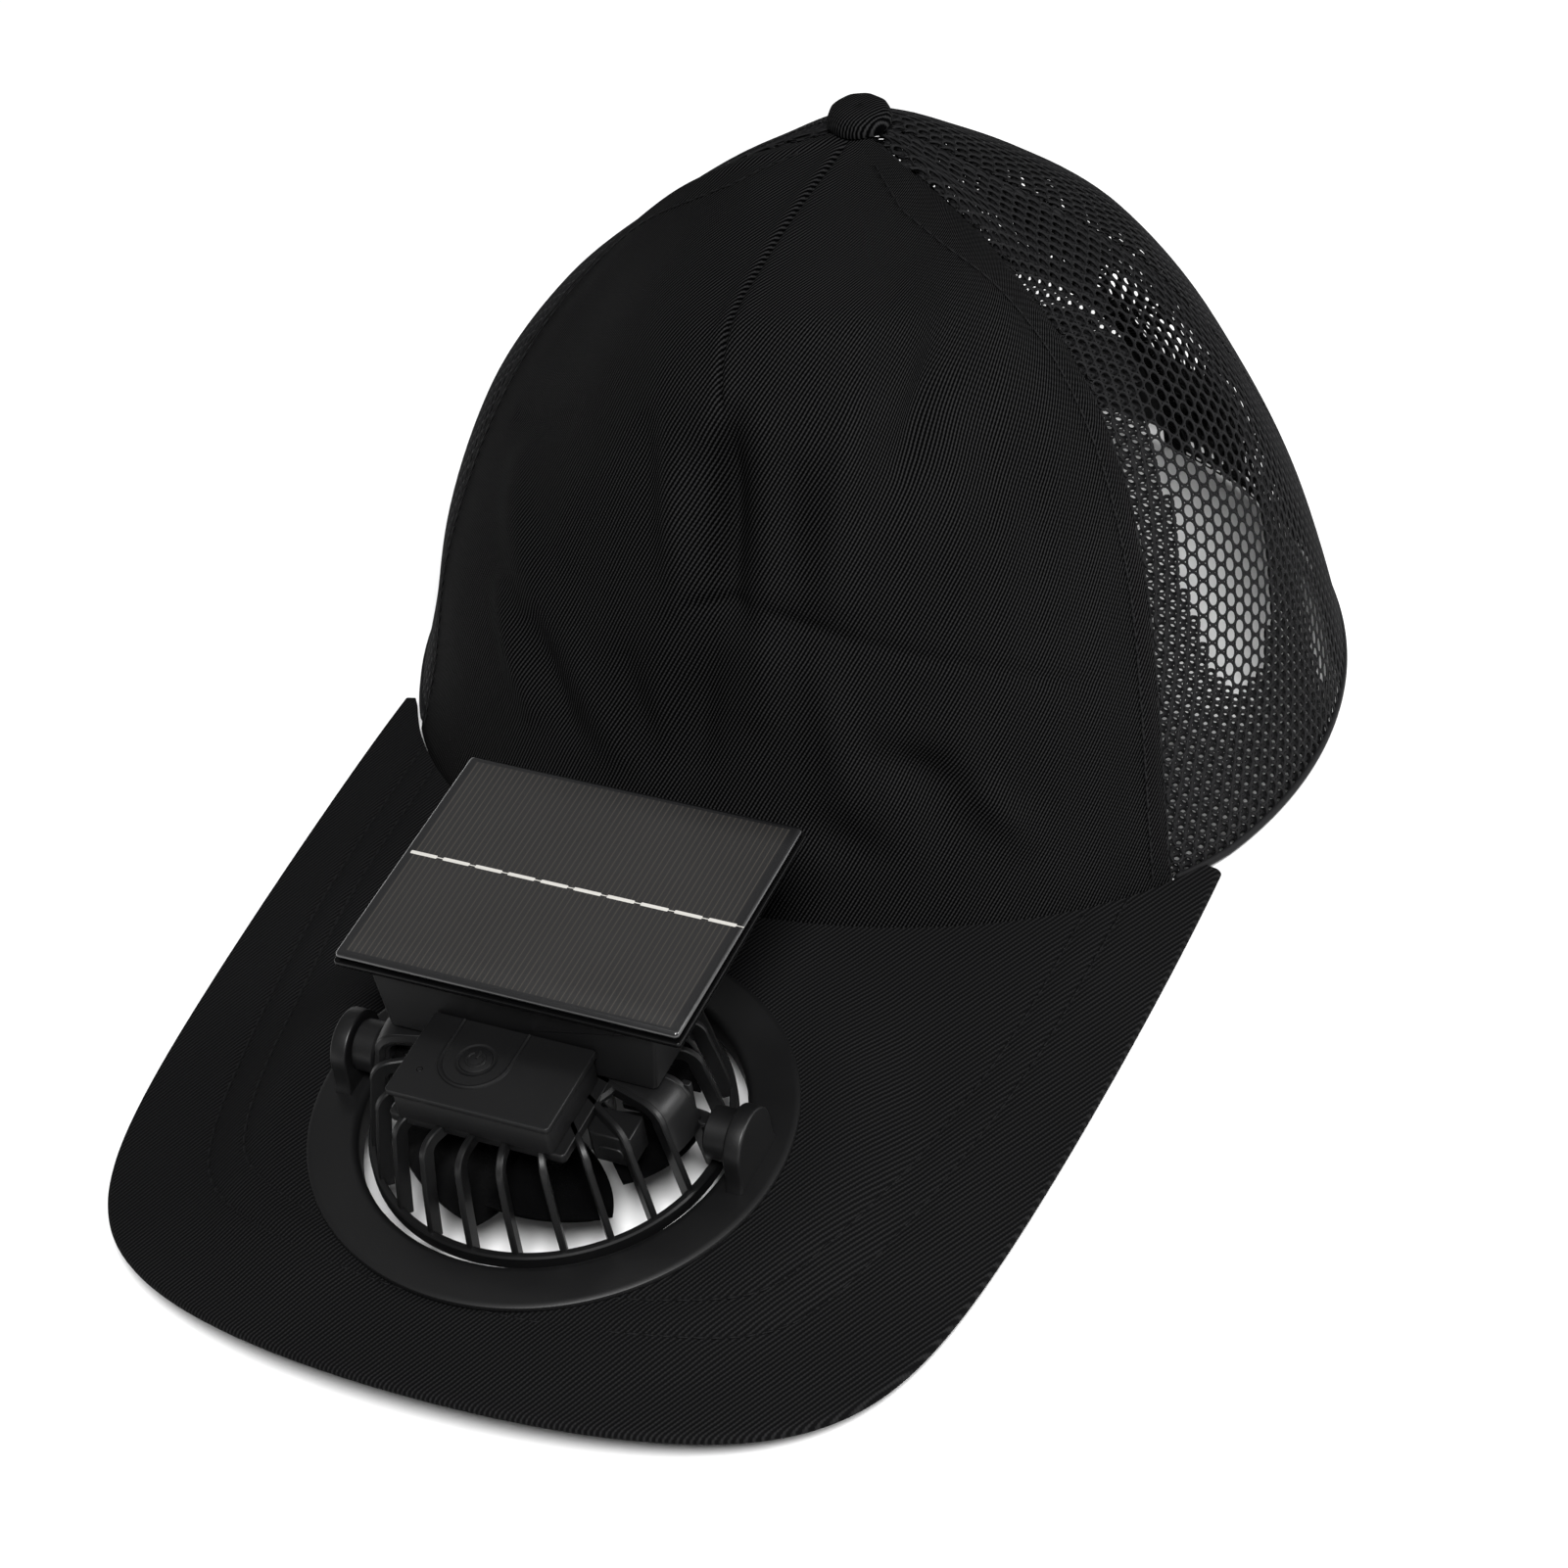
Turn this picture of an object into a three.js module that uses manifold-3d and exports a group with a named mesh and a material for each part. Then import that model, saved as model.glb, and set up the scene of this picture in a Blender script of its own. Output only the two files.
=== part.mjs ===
// Solar fan hat: a five-panel cap with net sides, and a tilting solar fan set in its long visor.
// Millimetres, +Z up, visor towards -Y. The fan's centre is at x = 0, y = 0 until the last lines
// move the whole hat so that the middle of its footprint is the origin.
import * as THREE from "three";
import { mergeVertices } from "three/addons/utils/BufferGeometryUtils.js";
import Module from "manifold-3d";

const wasm = await Module();
wasm.setup();
const degree = Math.PI / 180;

// Cap sizes
const crownHeight = 119;
const rimHalfWidth = 100;
const rimHalfLength = 92;
const fanToRim = 59.5;
const rimToButton = 115.5;
const frontWall = 1.6;
const netWall = 1.2;
const seamGap = 0.4;
const clothGap = 0.3;
const deepestFold = 3.2;
const capButtonRadius = 6.5;
const capButtonHeight = 4.4;
const capButtonStem = 1.8;

// Visor sizes
const visorThickness = 2.3;
const visorArch = 11.3;
const fanToVisorTip = 66;
const visorCornerTurn = 62.5 * degree;
const visorCornerLap = 3.3;
const padMargin = 3.2;
const padBlend = 20;

// Rear opening, strap and buckle sizes
const archHalfWidth = 38;
const archLevel = 0.31;
const bindingWidth = 6;
const bindingWall = 2;
const archSteps = 9;
const strapWidth = 20;
const strapWall = 1.4;
const strapFloorGap = 2;
const strapHalfLength = 58;
const buckleLength = 30;
const buckleBar = 3;
const buckleWall = 1.5;

// Fan ring sizes
const fanOpeningRadius = 36.4;
const flangeWidth = 9.9;
const lipWall = 1.4;
const flangeThickness = 1.2;
const retainerThickness = 1.6;
const retainerInset = 1.5;
const pivotHeight = 6.6;
const earHalfWidth = 6.9;
const earHeight = 12.9;
const earThickness = 3.4;
const earSetback = 2.5;
const earFootFlare = 0.8;

// Tilting fan head sizes, measured up from the flat top of the fan ring
const runningGap = 0.3;
const cageGap = 1.8;
const cageRingWall = 1.6;
const cageRingDrop = 3.5;
const cageRingHeight = 3.1;
const cageHeight = 19.8;
const shoulderInset = 3.4;
const finCount = 24;
const finThickness = 1.3;
const finDepth = 2.8;
const finShoulder = 4.7;
const finLean = 1.5 * degree;
const finPhase = 1.5 * degree;
const finSetback = 0.2;
const webTurn = 15 * degree;
const webFoot = 9;
const webSink = 0.25;
const plateThickness = 2;
const plateHalfWidth = 17.7;
const plateFront = 24.6;
const plateBack = 30;
const bossRadius = 5;
const bossLength = 4.6;
const pinRadius = 2.2;
const pinLength = 1.7;
const armWidth = 3;
const postDepth = 1.8;
const portLap = 0.8;
const portReach = 26;
const portFront = 15.5;
const portBack = 9;
const portSlant = 1.6;
const portHeight = 7;
const portDrop = 2.5;
const boxHalfWidth = 16.4;
const boxFront = 25.3;
const boxBack = 5.3;
const boxHeight = 7.4;
const boxLidThickness = 1.4;
const boxLidLap = 0.7;
const powerButtonX = -3.5;
const powerButtonY = -14;
const powerButtonRadius = 3.2;
const powerButtonHeight = 2.6;
const powerButtonTravel = 0.8;
const housingHalfWidth = 27;
const housingFlare = 2;
const housingFront = 5;
const housingBack = 38;
const housingHeight = 14.9;
const panelHalfWidth = 35;
const panelFront = 6.9;
const panelLength = 56;
const backingThickness = 1.2;
const cellThickness = 1.5;
const cellMargin = 0.4;

// Motor and rotor sizes
const motorRadius = 12.5;
const motorHeight = 9.5;
const hubRadius = 12;
const hubHeight = 9.5;
const bladeCount = 7;
const bladeInset = 5.6;
const bladeHeight = 8;
const bladeWall = 1.2;
const bladeSweep = 50 * degree;

// Crown meridians from rim (t = 0) to button (t = 1). R columns are shares of the way out from the
// button axis to the rim, H columns shares of the height, at the front centre, seam, side and back.
// seamTurn is the angle round the rim, in degrees from the front, of the front panel's side seam.
const crownRows = [
  { t: 0.00, frontR: 1.000, frontH: 0.000, seamR: 1.000, seamH: 0.00, sideR: 1.00, sideH: 0.000,
    backR: 1.000, backH: 0.000, seamTurn: 57.3 },
  { t: 0.12, frontR: 0.930, frontH: 0.170, seamR: 0.940, seamH: 0.15, sideR: 0.96, sideH: 0.150,
    backR: 1.010, backH: 0.140, seamTurn: 59.6 },
  { t: 0.25, frontR: 0.860, frontH: 0.340, seamR: 0.890, seamH: 0.31, sideR: 0.91, sideH: 0.310,
    backR: 1.000, backH: 0.290, seamTurn: 61.9 },
  { t: 0.40, frontR: 0.780, frontH: 0.550, seamR: 0.790, seamH: 0.50, sideR: 0.82, sideH: 0.500,
    backR: 0.935, backH: 0.470, seamTurn: 66.5 },
  { t: 0.55, frontR: 0.700, frontH: 0.770, seamR: 0.650, seamH: 0.69, sideR: 0.64, sideH: 0.690,
    backR: 0.775, backH: 0.660, seamTurn: 71.6 },
  { t: 0.66, frontR: 0.645, frontH: 0.900, seamR: 0.535, seamH: 0.81, sideR: 0.45, sideH: 0.810,
    backR: 0.580, backH: 0.780, seamTurn: 73.6 },
  { t: 0.75, frontR: 0.560, frontH: 0.965, seamR: 0.440, seamH: 0.89, sideR: 0.29, sideH: 0.890,
    backR: 0.400, backH: 0.870, seamTurn: 72.5 },
  { t: 0.83, frontR: 0.400, frontH: 0.990, seamR: 0.330, seamH: 0.95, sideR: 0.17, sideH: 0.950,
    backR: 0.250, backH: 0.940, seamTurn: 69.3 },
  { t: 0.91, frontR: 0.210, frontH: 1.000, seamR: 0.180, seamH: 0.99, sideR: 0.09, sideH: 0.985,
    backR: 0.130, backH: 0.985, seamTurn: 64.2 },
  { t: 1.00, frontR: 0.040, frontH: 1.000, seamR: 0.040, seamH: 1.00, sideR: 0.04, sideH: 1.000,
    backR: 0.040, backH: 1.000, seamTurn: 57.3 },
];
const meridians = [
  { name: "front", turn: 0 },
  { name: "seam", turn: 57.3 * degree },
  { name: "side", turn: 104.3 * degree },
  { name: "back", turn: 180 * degree },
];
const netSeamTurn = 122 * degree;

// Dents and folds of the cloth. turn and turnSpread are radians round the rim, level and levelSpread
// are t, lean is the turn gained for each unit of level, and depth is a share of deepestFold, outwards.
const folds = [
  { name: "dart_pucker", turn: 0.05, level: 0.62, turnSpread: 0.10, levelSpread: 0.05, lean: 0, depth: 0.69 },
  { name: "centre_valley", turn: 0.08, level: 0.49, turnSpread: 0.08, levelSpread: 0.13, lean: 0, depth: -1 },
  { name: "left_ridge", turn: -0.10, level: 0.50, turnSpread: 0.12, levelSpread: 0.20, lean: 0, depth: 0.5 },
  { name: "apex_valley", turn: 0.63, level: 0.63, turnSpread: 0.11, levelSpread: 0.11, lean: 1.6, depth: -1 },
  { name: "right_swell", turn: 0.84, level: 0.55, turnSpread: 0.16, levelSpread: 0.16, lean: 0.8, depth: 0.56 },
  { name: "centre_swell", turn: 0.36, level: 0.62, turnSpread: 0.16, levelSpread: 0.10, lean: 0, depth: 0.5 },
  { name: "cross_crease", turn: 0.17, level: 0.38, turnSpread: 0.17, levelSpread: 0.03, lean: 0, depth: -0.5 },
  { name: "left_pleat", turn: -0.03, level: 0.22, turnSpread: 0.06, levelSpread: 0.08, lean: 0, depth: -0.62 },
  { name: "right_pleat", turn: 0.54, level: 0.17, turnSpread: 0.08, levelSpread: 0.07, lean: 0, depth: -0.62 },
  { name: "net_sag_left", turn: -1.95, level: 0.45, turnSpread: 0.30, levelSpread: 0.16, lean: 0, depth: -0.75 },
  { name: "net_sag_right", turn: 2.25, level: 0.42, turnSpread: 0.34, levelSpread: 0.18, lean: 0, depth: -0.75 },
];

// Control points of the visor's edge curve, from its corner to its tip. across is a share of the
// visor's half width, along a share of the way from the corner forward to the tip.
const visorEdge = [
  { across: 1.000, along: 0.000 },
  { across: 1.000, along: 0.546 },
  { across: 0.897, along: 0.817 },
  { across: 0.974, along: 0.853 },
  { across: 0.702, along: 1.000 },
  { across: 0.000, along: 1.000 },
];

// Values that follow from the sizes
const rimCentreY = fanToRim + rimHalfLength;
const buttonY = fanToRim + rimToButton;
const visorHalfWidth = rimHalfWidth * Math.sin(visorCornerTurn) + visorCornerLap;
const visorCornerY = rimCentreY - rimHalfLength * Math.cos(visorCornerTurn);
const visorCrest = visorThickness + visorArch;
const lipRadius = fanOpeningRadius + lipWall;
const flangeRadius = fanOpeningRadius + flangeWidth;
const cageRadius = fanOpeningRadius - cageGap;
const shoulderRadius = cageRadius - shoulderInset;
const bladeRadius = cageRadius - bladeInset;
const ringTop = visorCrest + clothGap + flangeThickness;
const pivotZ = ringTop + pivotHeight;
const earInner = fanOpeningRadius + earSetback;
const archHalfTurn = archHalfWidth / rimHalfLength;
const powerButtonHole = powerButtonRadius + runningGap;
const plateTop = cageHeight;
const boxTop = plateTop + runningGap + boxHeight;
const housingBottom = plateTop + runningGap;
const backingBottom = housingBottom + housingHeight + runningGap;
const cellBottom = backingBottom + backingThickness + runningGap;
const motorTop = cageHeight - plateThickness - runningGap;
const hubTop = motorTop - motorHeight - runningGap;

function smoothStep(share) {
  const s = THREE.MathUtils.clamp(share, 0, 1);
  return s * s * (3 - 2 * s);
}

// A monotone cubic through one column of a table whose rows have a t.
function alongTable(rows, column, t) {
  const last = rows.length - 1;
  let row = 0;
  while (row < last - 1 && t > rows[row + 1].t) row += 1;
  const slope = (k) => (rows[k + 1][column] - rows[k][column]) / (rows[k + 1].t - rows[k].t);
  const tangent = (k) => {
    if (k === 0) return slope(0);
    if (k === last) return slope(last - 1);
    const before = slope(k - 1);
    const after = slope(k);
    return before * after <= 0 ? 0 : (2 * before * after) / (before + after);
  };
  const width = rows[row + 1].t - rows[row].t;
  const s = (t - rows[row].t) / width;
  const bend = s * s * (3 - 2 * s);
  const startPull = s * (1 - s) * (1 - s) * width * tangent(row);
  const endPull = s * s * (s - 1) * width * tangent(row + 1);
  return rows[row][column] * (1 - bend) + rows[row + 1][column] * bend + startPull + endPull;
}

// Height of the visor's underside: an arch across the hat with a flat pad round the fan.
function visorUnderside(x, y) {
  const fromPad = Math.hypot(x, y) - flangeRadius - padMargin;
  const fall = smoothStep(fromPad / padBlend) * (x / visorHalfWidth) ** 2;
  return visorArch * Math.max(0, 1 - fall);
}

function rimPoint(turn) {
  const x = rimHalfWidth * Math.sin(turn);
  const y = rimCentreY - rimHalfLength * Math.cos(turn);
  const z = Math.abs(turn) < Math.PI / 2 ? visorUnderside(x, y) : 0;
  return new THREE.Vector3(x, y, z);
}

// The crown without its folds. Each meridian runs from its rim point to the button's axis, and its
// shares blend between the two nearest meridians of the table.
function plainCrown(turn, t) {
  const side = Math.abs(turn);
  let k = 0;
  while (k < meridians.length - 2 && side > meridians[k + 1].turn) k += 1;
  const near = meridians[k];
  const far = meridians[k + 1];
  const blend = smoothStep((side - near.turn) / (far.turn - near.turn));
  const share = (letter) => THREE.MathUtils.lerp(
    alongTable(crownRows, near.name + letter, t), alongTable(crownRows, far.name + letter, t), blend);
  const out = share("R");
  const rim = rimPoint(turn);
  const x = rim.x * out;
  const y = buttonY + (rim.y - buttonY) * out;
  const z = rim.z + (crownHeight - rim.z) * share("H");
  return new THREE.Vector3(x, y, z);
}

function crownNormal(turn, t) {
  const step = 1e-3;
  const low = Math.min(t, 1 - step);
  const alongT = plainCrown(turn, low + step).sub(plainCrown(turn, low));
  const alongTurn = plainCrown(turn + step, low).sub(plainCrown(turn - step, low));
  return alongTurn.cross(alongT).normalize();
}

function foldShare(turn, t) {
  const shareOf = (fold) => {
    const off = t - fold.level;
    const round = (turn - fold.turn - fold.lean * off) / fold.turnSpread;
    const up = off / fold.levelSpread;
    return fold.depth * Math.exp(-round * round - up * up);
  };
  return folds.reduce((sum, fold) => sum + shareOf(fold), 0);
}

// Outside and inside points of the crown's wall. The wall's foot is cut level, so near the rim the
// thickness is taken horizontally.
function crownWall(turn, t, wall, lift = 0) {
  const normal = crownNormal(turn, t);
  const fold = deepestFold * foldShare(turn, t) * smoothStep(t / 0.1);
  const outside = plainCrown(turn, t).addScaledVector(normal, fold);
  const across = normal.clone();
  across.z *= smoothStep(t / 0.1);
  across.normalize();
  outside.addScaledVector(across, lift);
  return [outside, outside.clone().addScaledVector(across, -wall)];
}

// Turns a closed triangle list into a geometry, with its faces pointing out.
function closedGeometry(points, triangles) {
  let volume = 0;
  for (const [a, b, c] of triangles) {
    volume += points[a].dot(new THREE.Vector3().crossVectors(points[b], points[c]));
  }
  const ordered = volume < 0 ? triangles.map(([a, b, c]) => [a, c, b]) : triangles;
  const geometry = new THREE.BufferGeometry();
  geometry.setAttribute("position", new THREE.Float32BufferAttribute(points.flatMap((p) => [p.x, p.y, p.z]), 3));
  geometry.setIndex(ordered.flat());
  geometry.computeVertexNormals();
  return geometry;
}

// A wall over a grid: wallAt(a, b) gives its outside and inside points for a and b from 0 to 1.
function shell(wallAt, stepsA, stepsB) {
  const points = [];
  const layerSize = (stepsA + 1) * (stepsB + 1);
  for (const layer of [0, 1]) {
    for (let i = 0; i <= stepsA; i += 1) {
      for (let j = 0; j <= stepsB; j += 1) {
        points.push(wallAt(i / stepsA, j / stepsB)[layer]);
      }
    }
  }
  const at = (i, j, layer) => layer * layerSize + i * (stepsB + 1) + j;
  const triangles = [];
  const quad = (a, b, c, d) => triangles.push([a, b, c], [a, c, d]);
  for (let i = 0; i < stepsA; i += 1) {
    for (let j = 0; j < stepsB; j += 1) {
      quad(at(i, j, 0), at(i + 1, j, 0), at(i + 1, j + 1, 0), at(i, j + 1, 0));
      quad(at(i, j, 1), at(i, j + 1, 1), at(i + 1, j + 1, 1), at(i + 1, j, 1));
    }
  }
  for (let i = 0; i < stepsA; i += 1) {
    quad(at(i, 0, 0), at(i, 0, 1), at(i + 1, 0, 1), at(i + 1, 0, 0));
    quad(at(i, stepsB, 0), at(i + 1, stepsB, 0), at(i + 1, stepsB, 1), at(i, stepsB, 1));
  }
  for (let j = 0; j < stepsB; j += 1) {
    quad(at(0, j, 0), at(0, j + 1, 0), at(0, j + 1, 1), at(0, j, 1));
    quad(at(stepsA, j, 0), at(stepsA, j, 1), at(stepsA, j + 1, 1), at(stepsA, j + 1, 0));
  }
  return closedGeometry(points, triangles);
}

function toSolid(geometry) {
  const bare = geometry.clone();
  bare.deleteAttribute("normal");
  bare.deleteAttribute("uv");
  const merged = mergeVertices(bare, 1e-4);
  const vertProperties = new Float32Array(merged.attributes.position.array);
  const triVerts = new Uint32Array(merged.index.array);
  return new wasm.Manifold(new wasm.Mesh({ numProp: 3, vertProperties, triVerts }));
}

function toGeometry(solid) {
  const mesh = solid.getMesh();
  const geometry = new THREE.BufferGeometry();
  geometry.setAttribute("position", new THREE.BufferAttribute(new Float32Array(mesh.vertProperties), 3));
  geometry.setIndex(new THREE.BufferAttribute(new Uint32Array(mesh.triVerts), 1));
  geometry.computeVertexNormals();
  return geometry;
}

function joined(geometries) {
  return toGeometry(geometries.map(toSolid).reduce((whole, solid) => whole.add(solid)));
}

function cut(geometry, tools) {
  return toGeometry(tools.map(toSolid).reduce((rest, tool) => rest.subtract(tool), toSolid(geometry)));
}

// A round piece about +Z from a closed outline of [radius, height] pairs.
function turned(outline, segments) {
  const profile = [...outline, outline[0]].map(([r, z]) => new THREE.Vector2(r, z));
  return new THREE.LatheGeometry(profile, segments).rotateX(Math.PI / 2);
}

function block(x0, x1, y0, y1, z0, z1) {
  const geometry = new THREE.BoxGeometry(x1 - x0, y1 - y0, z1 - z0);
  return geometry.translate((x0 + x1) / 2, (y0 + y1) / 2, (z0 + z1) / 2);
}

function cylinder(radius, z0, z1, segments) {
  const geometry = new THREE.CylinderGeometry(radius, radius, z1 - z0, segments);
  return geometry.rotateX(Math.PI / 2).translate(0, 0, (z0 + z1) / 2);
}

function crosswiseCylinder(radius, x0, x1, segments) {
  const geometry = new THREE.CylinderGeometry(radius, radius, x1 - x0, segments);
  return geometry.rotateZ(Math.PI / 2).translate((x0 + x1) / 2, 0, 0);
}

// An outline drawn in y and z, extruded along x from x0.
function extrudedAlongX(outline, x0, depth) {
  const shape = new THREE.Shape(outline.map(([y, z]) => new THREE.Vector2(y, z)));
  const geometry = new THREE.ExtrudeGeometry(shape, { depth, bevelEnabled: false });
  const axes = [new THREE.Vector3(0, 1, 0), new THREE.Vector3(0, 0, 1), new THREE.Vector3(1, 0, 0)];
  return geometry.applyMatrix4(new THREE.Matrix4().makeBasis(...axes)).translate(x0, 0, 0);
}

function seamTurnAt(t) {
  return alongTable(crownRows, "seamTurn", t) * degree;
}

function halfSeamTurn(t) {
  return seamGap / 2 / (rimHalfLength * alongTable(crownRows, "sideR", t));
}

function frontPanel() {
  const wallAt = (a, b) => {
    const reach = seamTurnAt(b) - halfSeamTurn(b);
    return crownWall((2 * a - 1) * reach, b, frontWall);
  };
  return shell(wallAt, 28, 13);
}

function sideNet(side) {
  const wallAt = (a, b) => {
    const start = seamTurnAt(b) + halfSeamTurn(b);
    const end = netSeamTurn - halfSeamTurn(b);
    return crownWall(side * THREE.MathUtils.lerp(start, end, a), b, netWall);
  };
  return shell(wallAt, 10, 11);
}

// A point of the rear arch's edge, scaled by size, for sweep from -pi / 2 through 0 at its top.
function archPoint(sweep, size) {
  return { turn: Math.PI - archHalfTurn * size * Math.sin(sweep), level: archLevel * size * Math.cos(sweep) };
}

// The first steps run from the side seam to the arch's foot, the others round the arch to its top.
function backNet(side) {
  const outerSteps = 5;
  const steps = outerSteps + archSteps;
  const wallAt = (a, b) => {
    const round = Math.max(0, a * steps - outerSteps) / archSteps;
    const edge = archPoint((Math.PI / 2) * (1 - round), 1);
    const start = netSeamTurn + halfSeamTurn(b);
    const outer = THREE.MathUtils.lerp(start, edge.turn, Math.min(1, (a * steps) / outerSteps));
    const turn = Math.min(outer, Math.PI - halfSeamTurn(b));
    const foot = Math.max(0, edge.level);
    return crownWall(side * turn, foot + (1 - foot) * b, netWall);
  };
  return shell(wallAt, steps, 10);
}

function archBinding() {
  const archHeight = crownHeight * alongTable(crownRows, "backH", archLevel);
  const outer = 1 - seamGap / archHeight;
  const inner = 1 - bindingWidth / archHeight;
  const wallAt = (a, b) => {
    const { turn, level } = archPoint((a - 0.5) * Math.PI, THREE.MathUtils.lerp(inner, outer, b));
    return crownWall(turn, Math.max(0, level), bindingWall, (bindingWall - netWall) / 2);
  };
  return shell(wallAt, 2 * archSteps, 2);
}

function capButton() {
  const foot = crownHeight + clothGap;
  const stemFoot = crownHeight - frontWall;
  const dome = [0, 22, 44, 66].map((angle) => [
    capButtonRadius * Math.cos(angle * degree),
    foot + capButtonHeight * (0.35 + 0.65 * Math.sin(angle * degree)),
  ]);
  const top = [0, foot + capButtonHeight];
  const outline = [[0, stemFoot], [capButtonStem, stemFoot], [capButtonStem, foot], [capButtonRadius, foot]];
  return turned([...outline, ...dome, top], 18).translate(0, buttonY, 0);
}

// A point on the visor's edge curve, by de Casteljau's rule, for s from 0 at the corner to 1.
function visorEdgePoint(s) {
  let row = visorEdge.map(({ across, along }) => new THREE.Vector2(
    across * visorHalfWidth, visorCornerY - along * (visorCornerY + fanToVisorTip)));
  while (row.length > 1) {
    row = row.slice(1).map((next, i) => row[i].clone().lerp(next, s));
  }
  return row[0];
}

function visor() {
  const wallAt = (a, b) => {
    const side = a < 0.5 ? -1 : 1;
    const s = 1 - Math.abs(2 * a - 1);
    const edge = visorEdgePoint(s);
    const rim = rimPoint(visorCornerTurn * (1 - s));
    const outward = new THREE.Vector2(rim.x, rim.y - rimCentreY).normalize().multiplyScalar(clothGap);
    const x = side * THREE.MathUtils.lerp(rim.x + outward.x, edge.x, b);
    const y = THREE.MathUtils.lerp(rim.y + outward.y, edge.y, b);
    const z = visorUnderside(x, y);
    return [new THREE.Vector3(x, y, z + visorThickness), new THREE.Vector3(x, y, z)];
  };
  const hole = cylinder(lipRadius + clothGap, -visorThickness, visorCrest + visorThickness, 48);
  return cut(shell(wallAt, 36, 7), [hole]);
}

// The level at which the crown's back is at a height, by halving.
function levelAt(height) {
  let low = 0;
  let high = 1;
  for (let i = 0; i < 20; i += 1) {
    const middle = (low + high) / 2;
    if (crownHeight * alongTable(crownRows, "backH", middle) < height) low = middle;
    else high = middle;
  }
  return low;
}

// The strap lies round the outside of the rear arch's feet and spans the arch between them.
function strapWallAt(turn, height) {
  const lift = (bindingWall - netWall) / 2 + clothGap + strapWall;
  return crownWall(turn, levelAt(height), strapWall, lift);
}

function rearStrap() {
  const halfTurn = strapHalfLength / rimHalfWidth;
  const wallAt = (a, b) => strapWallAt(Math.PI + (2 * a - 1) * halfTurn, strapFloorGap + strapWidth * b);
  return shell(wallAt, 20, 3);
}

// A slide: the strap runs under its two end bars and over its middle bar.
function strapBuckle() {
  const half = buckleLength / 2;
  const heights = [0, 0.25, 0.5, 0.75, 1].map((share) => strapFloorGap + strapWidth * share);
  const across = (turn) => heights.map((height) => strapWallAt(turn, height).map((point) => point.y));
  const strapInside = Math.min(...across(Math.PI).map(([, inside]) => inside));
  const strapOutside = Math.max(...across(Math.PI).map(([outside]) => outside));
  const endTurn = Math.PI - (half - buckleBar) / rimHalfWidth;
  const endOutside = Math.max(...across(endTurn).map(([outside]) => outside));
  const inside = strapInside - runningGap - buckleWall;
  const outside = strapOutside + runningGap + buckleWall / 2;
  const low = strapFloorGap - runningGap;
  const high = strapFloorGap + strapWidth + runningGap;
  const foot = low - strapFloorGap / 2;
  const top = high + buckleBar;
  const rails = [[foot, low], [high, top]].map(([z0, z1]) => block(-half, half, inside, outside, z0, z1));
  const middle = block(-buckleBar / 2, buckleBar / 2, inside, inside + buckleWall, foot, top);
  const ends = [-1, 1].map((side) => {
    const x = side * (half - buckleBar / 2);
    return block(x - buckleBar / 2, x + buckleBar / 2, endOutside + runningGap, outside, foot, top);
  });
  return joined([...rails, middle, ...ends]);
}

// Upright ears on the fan ring. Each is an arch in side view, with a blind bore for the head's pin.
function ear(side) {
  const rise = [0, 30, 60, 90, 120, 150, 180].map((angle) => [
    earHalfWidth * Math.cos(angle * degree), earHeight - earHalfWidth * (1 - Math.sin(angle * degree))]);
  const foot = earHalfWidth + earFootFlare;
  const outline = [[-foot, -flangeThickness / 2], [foot, -flangeThickness / 2], ...rise];
  const plate = extrudedAlongX(outline, earInner, earThickness).translate(0, 0, ringTop);
  const bore = crosswiseCylinder(pinRadius + runningGap, earInner - 1, earInner + pinLength, 16)
    .translate(0, 0, pivotZ);
  const made = toSolid(plate).subtract(toSolid(bore));
  return side > 0 ? toGeometry(made) : toGeometry(made).rotateZ(Math.PI);
}

function flangeRing() {
  const lipFoot = visorArch - clothGap - retainerThickness;
  const seat = visorCrest + clothGap;
  const outline = [
    [fanOpeningRadius, lipFoot], [lipRadius, lipFoot], [lipRadius, seat], [flangeRadius, seat],
    [flangeRadius, seat + flangeThickness * 0.6], [flangeRadius - flangeThickness * 0.5, ringTop],
    [fanOpeningRadius + lipWall * 0.6, ringTop], [fanOpeningRadius, ringTop - lipWall * 0.6],
  ];
  return joined([turned(outline, 48), ear(-1), ear(1)]);
}

function retainingRing() {
  const top = visorArch - clothGap;
  const inner = lipRadius + runningGap;
  const outer = flangeRadius - retainerInset;
  return turned([[inner, top - retainerThickness], [outer, top - retainerThickness], [outer, top], [inner, top]], 30);
}

// The cage's profile over its shoulder, as [radius, height] pairs.
const shoulderLine = [10, 45, 90].map((bend) => [
  shoulderRadius - finShoulder * (1 - Math.sin(bend * degree)),
  cageHeight - finShoulder * (1 - Math.cos(bend * degree)),
]);

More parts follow.
